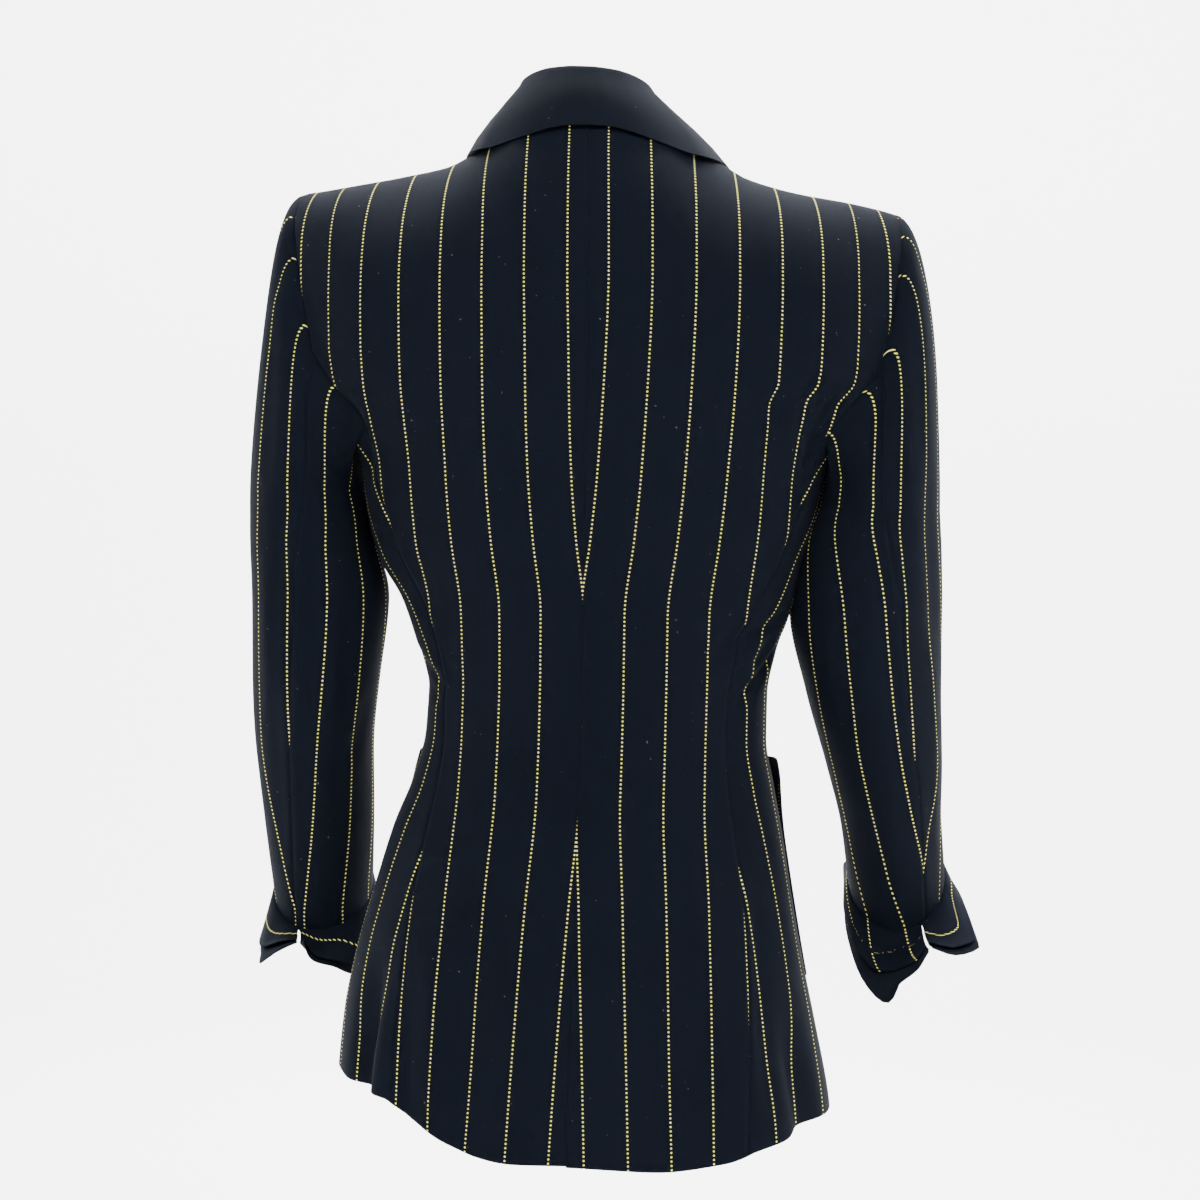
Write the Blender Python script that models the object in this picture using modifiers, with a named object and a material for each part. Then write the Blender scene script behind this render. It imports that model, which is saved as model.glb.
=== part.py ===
"""A woman's long fitted blazer, worn on an unseen figure and shown from behind.

The back faces -Y, the front +Y and up is +Z. The origin lies midway between the two shoulder tips, where the
wearer's shoulders hold the garment. Every length below is in millimetres until a mesh is made.
"""

import math

import bpy
import numpy as np
from mathutils import Vector

MM = 0.001
SHARP_ANGLE = 40.0     # edges turned more than this are shown sharp

# Cloth
WALL = 1.5             # thickness of the suiting with its interlining
GAP = 0.3              # space left between two pieces at a seam
SLEEVE_GAP = 1.3       # the same round the armhole, where both edges curve
UNDERARM_GAP = 2.2     # and this much more under the arm
ARM_SEAM_GAP = 0.6     # between the upper and the under sleeve, whose seams turn as they run down the arm
LIFT = 0.6             # space under a piece that lies on another
ON_TOP = WALL + LIFT + 0.5      # the right front lies this far outside the left one where they cross

# Stance of the wearer: the right shoulder drops, the left one rises, and the neck leans to the left
SHOULDER_DROP = 5.0    # at the shoulder tip, fading out at the hip
NECK_LEAN = 7.0
NECK_LEAN_OVER = 240.0 # height over which the lean grows, from the shoulder blades up

# Levels
BLADE = -120.0         # shoulder blades: the ring sections end and the yoke begins
HIP = -430.0           # below this the rows bend towards the hem
UNDERARM = -188.0      # lowest point of the armhole
SEAM_TOP = -170.0      # where the side back seam runs into the armhole

# Shoulder and neck
TIP = (213.0, 2.0, 0.0)
NECK_POINT = (64.0, -8.0, 56.0)
NAPE = (0.0, -60.0, 60.0)
NAPE_TURN = 38.0       # by how many degrees the yoke stops short of level at the nape

# Body sections: height, reach to the left and right, depth of back and front, squareness, the x of the side back
# seam, the angle of the side front seam and the x of the front edge
BODY = [
    dict(z=-720, left=181, right=186, back=118, front=106, power=2.35, back_seam=123, front_angle=104, edge=-14),
    dict(z=-650, left=178, right=180, back=117, front=106, power=2.35, back_seam=123, front_angle=104, edge=-14),
    dict(z=-592, left=174, right=169, back=115, front=106, power=2.3, back_seam=122, front_angle=104, edge=-14),
    dict(z=-541, left=165, right=158, back=112, front=105, power=2.3, back_seam=120, front_angle=103, edge=-14),
    dict(z=-500, left=154, right=150, back=106, front=102, power=2.3, back_seam=116, front_angle=102, edge=-14),
    dict(z=-455, left=141, right=142, back=97, front=98, power=2.25, back_seam=109, front_angle=100, edge=-14),
    dict(z=-420, left=127, right=135, back=90, front=95, power=2.2, back_seam=103, front_angle=99, edge=-14),
    dict(z=-386, left=119, right=129, back=86, front=94, power=2.2, back_seam=100, front_angle=98, edge=-14),
    dict(z=-355, left=118, right=129, back=86, front=97, power=2.2, back_seam=101, front_angle=97, edge=-14),
    dict(z=-325, left=127, right=134, back=89, front=104, power=2.2, back_seam=106, front_angle=97, edge=-8),
    dict(z=-292, left=139, right=141, back=94, front=115, power=2.25, back_seam=117, front_angle=98, edge=2),
    dict(z=-262, left=157, right=147, back=99, front=122, power=2.3, back_seam=133, front_angle=100, edge=9),
    dict(z=-232, left=166, right=154, back=103, front=123, power=2.35, back_seam=144, front_angle=104, edge=16),
    dict(z=-200, left=171, right=162, back=106, front=119, power=2.4, back_seam=155, front_angle=113, edge=23),
    dict(z=-170, left=186, right=180, back=107, front=112, power=2.5, back_seam=166, front_angle=127, edge=30),
    dict(z=-145, left=204, right=202, back=107, front=106, power=2.6, back_seam=184, front_angle=129, edge=36),
    dict(z=-120, left=216, right=214, back=107, front=101, power=2.6, back_seam=202, front_angle=130, edge=42),
]

# Armhole above the shoulder blades: share of the way up, and the x of its back and front edges
ARMHOLE = [
    dict(rise=0.0, back=202, front=176),
    dict(rise=0.2, back=210, front=183),
    dict(rise=0.4, back=216, front=190),
    dict(rise=0.6, back=219, front=197),
    dict(rise=0.8, back=218, front=205),
    dict(rise=1.0, back=213, front=213),
]

# Shoulder seam from the neck to the tip
SHOULDER = [
    dict(x=64, y=-8, z=56),
    dict(x=80, y=-7, z=38),
    dict(x=95, y=-6, z=27),
    dict(x=107, y=-5, z=20.5),
    dict(x=140, y=-3, z=12.5),
    dict(x=178, y=0, z=6.5),
    dict(x=213, y=2, z=0),
]

# Hem height round the body, by angle from the centre back
HEM = [
    dict(angle=0, left=-673, right=-674),
    dict(angle=12, left=-674, right=-675),
    dict(angle=21, left=-671, right=-676),
    dict(angle=28, left=-664, right=-675),
    dict(angle=36, left=-649, right=-671),
    dict(angle=43, left=-638, right=-664),
    dict(angle=54, left=-636, right=-659),
    dict(angle=64, left=-634, right=-653),
    dict(angle=76, left=-631, right=-650),
    dict(angle=92, left=-632, right=-650),
    dict(angle=125, left=-640, right=-648),
    dict(angle=150, left=-648, right=-650),
    dict(angle=166, left=-644, right=-646),
    dict(angle=180, left=-616, right=-618),
]

HEM_BACK_SEAM = 40.0   # angle of the side back seam at the hem
HEM_FRONT_SEAM = 104.0

# Rows shared by the body's pieces between the hip and the shoulder blades
LEVELS = [-386, -350, -318, -285, -252, -220, -192, -170, -145, -120]

# Where the right front starts to lie over the left one: edge_from and edge_span in x, and the share of its width
LAP = dict(edge_from=30.0, edge_span=24.0, share_from=0.5, share_span=0.3)

# Large folds: angle and height of both ends, half width, depth inwards (negative stands proud)
FOLDS = [
    dict(name="flare_left", angle=-58, z=-690, to_angle=-55, to_z=-560, half=13, depth=8),
    dict(name="flare_left_proud", angle=-46, z=-690, to_angle=-47, to_z=-575, half=14, depth=-3),
    dict(name="flare_right", angle=66, z=-690, to_angle=60, to_z=-580, half=15, depth=5),
    dict(name="seat_left", angle=-22, z=-700, to_angle=-20, to_z=-560, half=18, depth=3),
    dict(name="seat_right", angle=28, z=-700, to_angle=24, to_z=-560, half=18, depth=3),
    dict(name="front_left", angle=-132, z=-680, to_angle=-128, to_z=-580, half=15, depth=4),
    dict(name="front_right", angle=135, z=-680, to_angle=130, to_z=-580, half=15, depth=4),
    dict(name="waist_right_low", angle=60, z=-352, to_angle=88, to_z=-318, half=6, depth=3),
    dict(name="waist_right_high", angle=46, z=-318, to_angle=76, to_z=-296, half=6, depth=2.5),
    dict(name="waist_left", angle=-62, z=-350, to_angle=-86, to_z=-330, half=6, depth=2),
    dict(name="under_arm_right", angle=54, z=-150, to_angle=66, to_z=-196, half=9, depth=4),
    dict(name="under_arm_left", angle=-58, z=-160, to_angle=-68, to_z=-205, half=9, depth=3),
]
ARC_PER_DEGREE = 2.3   # how far one degree of angle reaches along the cloth, for the folds

# Collar: stand and fall by angle from the centre back, and its section
COLLAR_END = 112.0     # angle where the collar ends on each front
COLLAR_WALL = 1.8
COLLAR_ROLL = 3.6      # radius of the fold
COLLAR_RISE = 1.0      # the stand starts this far above the neck seam
COLLAR_INSET = 0.4     # and this far inside it, past its own thickness
COLLAR_BOW = 2.5       # how far the fall is rounded outwards
COLLAR_SHOULDER = 85.0 # angle where the neck seam crosses the shoulder seam
COLLAR_DIP = 0.14      # how far down the front's edge the neck seam ends
COLLAR = [
    dict(angle=0, fold_x=0, fold_y=-54, fold_z=84, edge_x=0, edge_y=-76, edge_z=42),
    dict(angle=8, fold_x=7.2, fold_y=-53.8, fold_z=84, edge_x=12, edge_y=-75.9, edge_z=41.7),
    dict(angle=18, fold_x=16, fold_y=-52, fold_z=83.6, edge_x=27, edge_y=-75, edge_z=39.4),
    dict(angle=30, fold_x=26, fold_y=-48, fold_z=83, edge_x=44, edge_y=-72, edge_z=34.5),
    dict(angle=60, fold_x=43, fold_y=-30, fold_z=79, edge_x=76, edge_y=-58, edge_z=29),
    dict(angle=74, fold_x=47, fold_y=-17, fold_z=76, edge_x=89, edge_y=-34, edge_z=34),
    dict(angle=85, fold_x=49, fold_y=-6, fold_z=74, edge_x=96, edge_y=-8, edge_z=32),
    dict(angle=100, fold_x=52, fold_y=10, fold_z=67, edge_x=99, edge_y=24, edge_z=27),
    dict(angle=112, fold_x=54, fold_y=24, fold_z=60, edge_x=98, edge_y=54, edge_z=15),
]

# Lapel: place up the front edge (2 is level with the shoulder blades), reach from the roll line, droop of its edge
LAPEL = [
    dict(up=1.47, reach=4, droop=0.0),
    dict(up=1.60, reach=26, droop=0.02),
    dict(up=1.80, reach=52, droop=0.04),
    dict(up=2.00, reach=70, droop=0.05),
    dict(up=2.25, reach=84, droop=0.07),
    dict(up=2.44, reach=90, droop=0.09),
    dict(up=2.58, reach=66, droop=0.13),
    dict(up=2.82, reach=30, droop=0.17),
]
LAPEL_LIFT = 2.3
LAPEL_BOW = 1.6
LAPEL_ROLL = 2.0       # how far the rolled edge stands past the front's own edge
LAPEL_WALL = 1.4

# Places round the armhole from the shoulder tip: where the shoulder blade, the side back seam, the side front seam
# and the chest are
ROUND_BLADE = 0.3
ROUND_BACK = 0.4
ROUND_SIDE = 0.56
ROUND_CHEST = 0.66

# Arm line of each sleeve: height, centre and half widths across and front to back, turned by the lean of the arm
SLEEVE_LEFT = [
    dict(z=-215, x=-213, y=3, across=41, deep=62, lean=2),
    dict(z=-250, x=-209, y=5, across=45, deep=60, lean=4),
    dict(z=-292, x=-203, y=8, across=50, deep=57, lean=8),
    dict(z=-350, x=-206, y=16, across=47, deep=51, lean=14),
    dict(z=-407, x=-209, y=33, across=43, deep=46, lean=20),
    dict(z=-460, x=-209, y=54, across=41, deep=43, lean=28),
    dict(z=-512, x=-209, y=76, across=38, deep=46, lean=42),
]
SLEEVE_RIGHT = [
    dict(z=-215, x=206, y=3, across=42, deep=62, lean=2),
    dict(z=-250, x=200, y=5, across=50, deep=60, lean=4),
    dict(z=-292, x=198, y=8, across=54, deep=57, lean=8),
    dict(z=-350, x=205, y=14, across=49, deep=51, lean=14),
    dict(z=-407, x=216, y=30, across=42, deep=46, lean=20),
    dict(z=-450, x=223, y=48, across=37, deep=43, lean=30),
    dict(z=-490, x=228, y=68, across=36, deep=46, lean=55),
]

# Angle of each sleeve's seams by the place along it: 0 at the armhole, 1 where the head ends and 2 at the cuff
SLEEVE_SEAMS = [
    dict(place=0.0, back_left=-25, back_right=-24, front_left=227, front_right=227),
    dict(place=1.0, back_left=-13, back_right=1, front_left=207, front_right=216),
    dict(place=1.12, back_left=0, back_right=15, front_left=205, front_right=215),
    dict(place=1.27, back_left=9, back_right=25, front_left=205, front_right=215),
    dict(place=1.5, back_left=12, back_right=30, front_left=205, front_right=215),
    dict(place=1.65, back_left=14, back_right=32, front_left=205, front_right=215),
    dict(place=2.0, back_left=23, back_right=38, front_left=205, front_right=215),
]

# How the sleeve head leaves the armhole and how it meets the arm, as shares of its fall
HEAD_OUT = 0.36
HEAD_BACK = 0.14
HEAD_UP = 0.04
HEAD_DOWN = 0.86
UNDERARM_ANGLE = 12.0  # the sleeve's gap is widest this far past the inside of the arm

# Where the sleeve head meets the armhole: turn round the sleeve and share of the way round the armhole
ROUND = [
    dict(turn=0.0, share=0.0),
    dict(turn=0.25, share=0.25),
    dict(turn=0.5, share=0.48),
    dict(turn=0.75, share=0.74),
    dict(turn=1.0, share=1.0),
]

# Free edge of each cuff: angle round the arm from the back outwards, then across, forwards and up from the arm line,
# and how far the plain facing reaches past it
CUFF_LEFT = [
    dict(angle=25, across=9, forward=-56, up=-34, past=4),
    dict(angle=38, across=22, forward=-56, up=-38, past=9),
    dict(angle=50, across=34, forward=-50, up=-43, past=15),
    dict(angle=64, across=40, forward=-40, up=-44, past=6),
    dict(angle=90, across=48, forward=-4, up=-44, past=4),
    dict(angle=140, across=42, forward=44, up=-30, past=5),
    dict(angle=180, across=4, forward=66, up=-10, past=5),
    dict(angle=225, across=-34, forward=46, up=-16, past=5),
    dict(angle=270, across=-46, forward=6, up=-40, past=5),
    dict(angle=295, across=-34, forward=-26, up=-61, past=4),
    dict(angle=320, across=-21, forward=-44, up=-53, past=4),
    dict(angle=350, across=-5, forward=-54, up=-46, past=4),
    dict(angle=372, across=2, forward=-50, up=-36, past=4),
]
CUFF_RIGHT = [
    dict(angle=38, across=25, forward=-44, up=-43, past=4),
    dict(angle=52, across=40, forward=-46, up=-46, past=6),
    dict(angle=68, across=58, forward=-34, up=-40, past=6),
    dict(angle=90, across=54, forward=0, up=-24, past=5),
    dict(angle=140, across=44, forward=46, up=-6, past=5),
    dict(angle=180, across=2, forward=68, up=8, past=5),
    dict(angle=225, across=-38, forward=48, up=0, past=6),
    dict(angle=270, across=-39, forward=2, up=-24, past=10),
    dict(angle=295, across=-32, forward=-22, up=-48, past=18),
    dict(angle=318, across=-14, forward=-44, up=-66, past=25),
    dict(angle=335, across=-2, forward=-50, up=-63, past=11),
    dict(angle=365, across=12, forward=-50, up=-56, past=7),
    dict(angle=384, across=21, forward=-44, up=-46, past=4),
]
CUFF_STEP = 2.2        # the cuff springs from this far outside the sleeve
CUFF_BELLY = 5.0       # how far its middle hangs under the straight line to its edge
CUFF_SAG_OUT = 0.2     # the way it hangs, outwards and down
CUFF_SAG_DOWN = 0.8
CUFF_WALL = 1.2
FACING_WALL = 1.0
FACING_GAP = 1.6       # space between the striped cuff and its facing

# Patch pockets on the fronts: heights, angles of the sides, how far the mouth gapes in the middle and what share of
# that at its ends, the share of the height where the gape starts, and how far the patch swells
POCKET = dict(top=-402, bottom=-560, side=98, centre=146, gape=11.0, ends=0.42, gape_from=0.55, belly=4.0)

# Buttons
BUTTON_RADIUS = 10.0
BUTTON_THICK = 3.2
BUTTON_RIM = 0.9
BUTTONS = [dict(name="button_top", z=-316), dict(name="button_low", z=-416)]

STRIPED = (0.012, 0.015, 0.024)
PLAIN = (0.008, 0.009, 0.014)
HORN = (0.015, 0.014, 0.016)


def smooth(table, key, at, by="z"):
    """Value of one column at a height or an angle, on a smooth curve through the rows that never overshoots."""
    xs = np.array([row[by] for row in table], float)
    ys = np.array([row[key] for row in table], float)
    at = np.clip(np.asarray(at, float), xs[0], xs[-1])
    steps = np.diff(xs)
    slopes = np.diff(ys) / steps
    ends = np.empty(len(xs))
    ends[0] = slopes[0]
    ends[-1] = slopes[-1]
    turning = slopes[:-1] * slopes[1:] <= 0
    total = slopes[:-1] + slopes[1:]
    ends[1:-1] = np.where(turning, 0.0, 2 * slopes[:-1] * slopes[1:] / np.where(total == 0, 1.0, total))
    k = np.clip(np.searchsorted(xs, at, side="right") - 1, 0, len(xs) - 2)
    h = steps[k]
    t = (at - xs[k]) / h
    near = (1 + 2 * t) * (1 - t) ** 2 * ys[k] + t * (1 - t) ** 2 * h * ends[k]
    return near + t * t * (3 - 2 * t) * ys[k + 1] + t * t * (t - 1) * h * ends[k + 1]


def ease(t):
    t = np.clip(t, 0.0, 1.0)
    return t * t * (3 - 2 * t)


def fold_depth(angle, z):
    """How far the folds press the cloth in at an angle round the body and a height."""
    total = np.zeros(np.broadcast(angle, z).shape)
    for fold in FOLDS:
        run = np.array([(fold["to_angle"] - fold["angle"]) * ARC_PER_DEGREE, fold["to_z"] - fold["z"]])
        long = np.hypot(*run)
        across = (angle - fold["angle"]) * ARC_PER_DEGREE
        up = z - fold["z"]
        along = (across * run[0] + up * run[1]) / long ** 2
        aside = (across * run[1] - up * run[0]) / long
        fade = ease((1.25 - along) / 0.6) * ease((along + 0.35) / 0.35)
        total = total + fold["depth"] * np.exp(-(aside / fold["half"]) ** 2) * fade
    return total


def ring(angle, z):
    """Point of the body at an angle in degrees from the centre back, positive to the right, and a height."""
    angle = (np.asarray(angle, float) + 180) % 360 - 180
    z = np.asarray(z, float)
    turn = np.radians(np.abs(angle))
    reach = np.where(angle < 0, smooth(BODY, "left", z), smooth(BODY, "right", z))
    depth = np.where(np.abs(angle) < 90, smooth(BODY, "back", z), smooth(BODY, "front", z))
    power = 2 / smooth(BODY, "power", z)
    inward = 1 - fold_depth(angle, z) / depth
    x = np.sign(angle) * reach * np.abs(np.sin(turn)) ** power * inward
    y = -np.sign(np.cos(turn)) * depth * np.abs(np.cos(turn)) ** power * inward
    return np.stack(np.broadcast_arrays(x, y, z), axis=-1)


def angle_at(x, z):
    """Angle of the back of the body ring where it has this x."""
    reach = np.where(x < 0, smooth(BODY, "left", z), smooth(BODY, "right", z))
    share = np.clip(np.abs(x) / reach, 0, 1) ** (smooth(BODY, "power", z) / 2)
    return np.sign(x) * np.degrees(np.arcsin(share))


def front_angle(side, u, z):
    """Angle on a front, from the side front seam at 0 to the front edge at 1, past 180 where the fronts cross."""
    outer = smooth(BODY, "front_angle", z)
    edge = smooth(BODY, "edge", z)
    inner = 180 - np.sign(edge) * angle_at(np.abs(edge), z)
    return side * (outer + (inner - outer) * u)


def hem(angle):
    key = np.abs(angle)
    return np.where(angle < 0, smooth(HEM, "left", key, "angle"), smooth(HEM, "right", key, "angle"))


def row_height(v, angle, top):
    """Height of a row: v runs from 0 at the hem through 1 at the hip to 2 at the piece's top."""
    low = hem(angle) + (HIP - hem(angle)) * np.clip(v, None, 1)
    return np.where(v <= 1, low, HIP + (top - HIP) * np.clip(v - 1, 0, None))


def shoulder_point(x):
    """The shoulder seam, and inside the neck point the curve of the neck."""
    x = np.asarray(x, float)
    turn = np.sqrt(np.clip(1 - (x / NECK_POINT[0]) ** 2, 0, 1))
    inside = x < NECK_POINT[0]
    y = np.where(inside, NECK_POINT[1] + (NAPE[1] - NECK_POINT[1]) * turn, smooth(SHOULDER, "y", x, "x"))
    z = np.where(inside, NECK_POINT[2] + (NAPE[2] - NECK_POINT[2]) * turn, smooth(SHOULDER, "z", x, "x"))
    return np.stack(np.broadcast_arrays(x, y, z), axis=-1)


def yoke(side, share, rise, front):
    """Upper body above the blades: share runs from the inner to the armhole edge, rise from the blades to the top."""
    share, rise = np.broadcast_arrays(np.asarray(share, float), np.asarray(rise, float))
    key = "front" if front else "back"
    outer = smooth(ARMHOLE, key, np.clip(rise, 0, 1), "rise")
    base_outer = ARMHOLE[0][key]
    base_inner = BODY[-1]["edge"] if front else 0.0
    top_inner = NECK_POINT[0] if front else 0.0
    if front:
        base = ring(front_angle(side, 1 - share, BLADE), BLADE)
        base_x = np.abs(base[..., 0])
    else:
        base_x = base_inner + (base_outer - base_inner) * share
        base = ring(angle_at(side * base_x, BLADE), BLADE)
    share = (base_x - base_inner) / (base_outer - base_inner)
    top_x = top_inner + (TIP[0] - top_inner) * share
    top = shoulder_point(top_x)
    end = np.radians(90.0 - NAPE_TURN * np.clip(1 - top_x / NECK_POINT[0], 0, 1) ** 0.6)
    turn = rise * end
    forward = (1 - np.cos(turn)) / (1 - np.cos(end))
    up = np.sin(turn) / np.sin(end)
    straight = base_x + (top_x - base_x) * rise
    bow = outer - (base_outer + (TIP[0] - base_outer) * rise)
    x = side * (straight + bow * share ** 2)
    y = base[..., 1] + (top[..., 1] - base[..., 1]) * forward
    z = BLADE + (top[..., 2] - BLADE) * up
    return np.stack([x, y, z], axis=-1)


def back_surface(side):
    def at(u, v):
        z = row_height(np.clip(v, None, 2), side * HEM_BACK_SEAM * u, BLADE)
        x = side * np.maximum(u, 1e-4) * smooth(BODY, "back_seam", z)
        low = ring(angle_at(x, z), z)
        high = yoke(side, u, np.clip(v - 2, 0, 1), False)
        return np.where((v <= 2)[..., None], low, high)
    return at


def side_surface(side):
    def at(u, v):
        level = row_height(v, side * (HEM_BACK_SEAM + (HEM_FRONT_SEAM - HEM_BACK_SEAM) * u), SEAM_TOP)
        first = angle_at(side * smooth(BODY, "back_seam", level), level)
        last = side * smooth(BODY, "front_angle", level)
        dip = (UNDERARM - SEAM_TOP) * np.sin(np.pi * np.clip(u, 0, 1)) ** 0.8
        z = level + dip * ease(v - 1)
        return ring(first + (last - first) * u, z)
    return at


def front_surface(side):
    def at(u, v):
        z = row_height(np.clip(v, None, 2), side * (HEM_FRONT_SEAM + (180 - HEM_FRONT_SEAM) * u), BLADE)
        lap = ease((LAP["edge_from"] - smooth(BODY, "edge", z)) / LAP["edge_span"])
        lap = lap * ease((u - LAP["share_from"]) / LAP["share_span"]) * (ON_TOP if side > 0 else 0.0)
        low = ring(front_angle(side, u, z), z)
        low = low + np.stack([0 * lap, lap, 0 * lap], axis=-1)
        high = yoke(side, 1 - u, np.clip(v - 2, 0, 1), True)
        return np.where((v <= 2)[..., None], low, high)
    return at


def normals(surface, u, v, out):
    """Unit normals by small steps, turned to the side of the reference direction."""
    step = 1e-3
    du = surface(u + step, v) - surface(u - step, v)
    dv = surface(u, v + step) - surface(u, v - step)
    n = np.cross(du, dv)
    n = n / np.maximum(np.linalg.norm(n, axis=-1, keepdims=True), 1e-12)
    return n * (1 if out else -1)


def shrink(values, low_gap, high_gap, length):
    """Row or column places pulled in by a seam's half gap at either end."""
    values = np.array(values, float)
    values[0] += low_gap / length
    values[-1] -= high_gap / length
    return values


def stance(points):
    """The wearer's posture, applied alike to every piece."""
    x, y, z = np.moveaxis(np.asarray(points, float), -1, 0)
    tilt = ease((z - HIP) / -HIP) * np.clip(x / TIP[0], -1.2, 1.2)
    lean = ease((z - BLADE) / NECK_LEAN_OVER)
    return np.stack([x - NECK_LEAN * lean, y, z - SHOULDER_DROP * tilt], axis=-1)


def material(name, colour, roughness):
    made = bpy.data.materials.new(name)
    made.use_nodes = True
    shader = made.node_tree.nodes["Principled BSDF"]
    shader.inputs["Base Color"].default_value = (*colour, 1)
    shader.inputs["Roughness"].default_value = roughness
    shader.inputs["Metallic"].default_value = 0.0
    made.diffuse_color = (*colour, 1)
    return made


def add_object(name, points, faces, cloth):
    mesh = bpy.data.meshes.new(name)
    mesh.from_pydata((stance(points) * MM).tolist(), [], faces)
    mesh.validate()
    mesh.materials.append(cloth)
    mesh.shade_smooth()
    mesh.set_sharp_from_angle(angle=math.radians(SHARP_ANGLE))
    made = bpy.data.objects.new(name, mesh)
    bpy.data.collections["blazer"].objects.link(made)
    return made


def wall(name, outer, inner, cloth):
    """Closed body between two grids of points: the outer face, the inner face and the rim round them."""
    rows, columns = outer.shape[:2]
    points = np.concatenate([outer.reshape(-1, 3), inner.reshape(-1, 3)])
    shift = rows * columns

    def near(i, j):
        return i * columns + j

    faces = []
    for i in range(rows - 1):
        for j in range(columns - 1):
            face = (near(i, j), near(i, j + 1), near(i + 1, j + 1), near(i + 1, j))
            faces.append(face)
            faces.append(tuple(shift + k for k in reversed(face)))
    rim = [near(0, j) for j in range(columns)]
    rim += [near(i, columns - 1) for i in range(1, rows)]
    rim += [near(rows - 1, j) for j in range(columns - 2, -1, -1)]
    rim += [near(i, 0) for i in range(rows - 2, 0, -1)]
    for a, b in zip(rim, rim[1:] + rim[:1]):
        faces.append((b, a, shift + a, shift + b))
    volume = 0.0
    for face in faces:
        for k in range(1, len(face) - 1):
            volume += np.dot(points[face[0]], np.cross(points[face[k]], points[face[k + 1]]))
    if volume < 0:
        faces = [tuple(reversed(face)) for face in faces]
    return add_object(name, points, faces, cloth)


def armhole(side, share):
    """Closed edge of the armhole: from the shoulder tip down the back, under the arm and up the front."""
    share = np.asarray(share, float) % 1.0
    low_v = 1 + (SEAM_TOP - HIP) / (BLADE - HIP)
    fall = (share - ROUND_BLADE) / (ROUND_BACK - ROUND_BLADE)
    climb = (share - ROUND_SIDE) / (ROUND_CHEST - ROUND_SIDE)
    back_v = np.where(share < ROUND_BLADE, 3 - share / ROUND_BLADE, 2 - fall * (2 - low_v))
    over = 2 + (share - ROUND_CHEST) / (1 - ROUND_CHEST)
    front_v = np.where(share > ROUND_CHEST, over, low_v + climb * (2 - low_v))
    one = np.ones_like(share)
    on_back = back_surface(side)(one, np.clip(back_v, low_v, 3))
    under = side_surface(side)(np.clip((share - ROUND_BACK) / (ROUND_SIDE - ROUND_BACK), 0, 1), 2 * one)
    on_front = front_surface(side)(0 * one, np.clip(front_v, low_v, 3))
    point = np.where((share < ROUND_BACK)[..., None], on_back, under)
    return np.where((share > ROUND_SIDE)[..., None], on_front, point)


def arm_ring(side, table, angle, z):
    """Point of the sleeve below the head: angle 0 at the back, 90 outside, 180 in front, 270 beside the body."""
    turn = np.radians(angle)
    lean = np.radians(smooth(table, "lean", z))
    across = smooth(table, "across", z) * np.sin(turn)
    deep = -smooth(table, "deep", z) * np.cos(turn)
    x = smooth(table, "x", z) + side * across
    y = smooth(table, "y", z) + deep * np.cos(lean)
    return np.stack(np.broadcast_arrays(x, y, z + deep * np.sin(lean)), axis=-1)


def sleeve_point(side, table, angle, w):
    """Point of the sleeve: w is 0 at the armhole, 1 where the head ends and 2 at the cuff."""
    angle, w = np.broadcast_arrays(np.asarray(angle, float), np.asarray(w, float))
    rising = table[::-1]
    turn = ((90 - angle) / 360) % 1.0
    start = armhole(side, smooth(ROUND, "share", turn, "turn"))
    start_gap = SLEEVE_GAP + UNDERARM_GAP * np.clip(-np.sin(np.radians(angle - UNDERARM_ANGLE)), 0, 1)
    start = start + start_gap[..., None] * np.array([side, 0, 0])
    top_z = table[0]["z"]
    end = arm_ring(side, rising, angle, top_z + 0 * w)
    fall = (start[..., 2] - end[..., 2])[..., None]
    out = np.stack([side * HEAD_OUT + 0 * w, -HEAD_BACK * np.cos(np.radians(angle)), HEAD_UP + 0 * w], axis=-1) * fall
    down = np.array([0, 0, -HEAD_DOWN]) * fall
    t = np.clip(w, -0.01, 1)[..., None]
    head = (1 + 2 * t) * (1 - t) ** 2 * start + t * (1 - t) ** 2 * out
    head = head + t * t * (3 - 2 * t) * end + t * t * (t - 1) * down
    z = top_z + (table[-1]["z"] - top_z) * np.clip(w - 1, 0, None)
    return np.where((w <= 1)[..., None], head, arm_ring(side, rising, angle, z))


def sleeve_surface(side, table, name, under):
    def at(u, v):
        back = smooth(SLEEVE_SEAMS, "back_" + name, v, "place")
        front = smooth(SLEEVE_SEAMS, "front_" + name, v, "place")
        first = front if under else back
        last = back + 360 if under else front
        return sleeve_point(side, table, first + (last - first) * u, v)
    return at


def cuff_surface(side, table, edge, facing=False):
    """From the sleeve's end outwards to the free edge, sagging between; the facing runs on past that edge."""
    rising = table[::-1]
    end_z = table[-1]["z"]
    centre = np.array([table[-1]["x"], table[-1]["y"], end_z])
    first = edge[0]["angle"]
    last = edge[-1]["angle"]

    def at(u, v):
        u, v = np.broadcast_arrays(u, v)
        angle = first + (last - first) * u
        start = arm_ring(side, rising, angle, end_z + 0 * u)
        spoke = start - centre
        spoke = spoke / np.linalg.norm(spoke, axis=-1, keepdims=True)
        start = start + spoke * CUFF_STEP
        free = np.stack([side * smooth(edge, "across", angle, "angle"), smooth(edge, "forward", angle, "angle"),
                         smooth(edge, "up", angle, "angle")], axis=-1) + centre
        if facing:
            length = np.linalg.norm(free - start, axis=-1)
            v = v * (1 + smooth(edge, "past", angle, "angle") / length)
        sag = spoke * CUFF_SAG_OUT + np.array([0, 0, -CUFF_SAG_DOWN])
        belly = np.sin(np.pi * np.clip(v, 0, 1))[..., None] * CUFF_BELLY * sag
        return start + (free - start) * v[..., None] + belly
    return at


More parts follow.
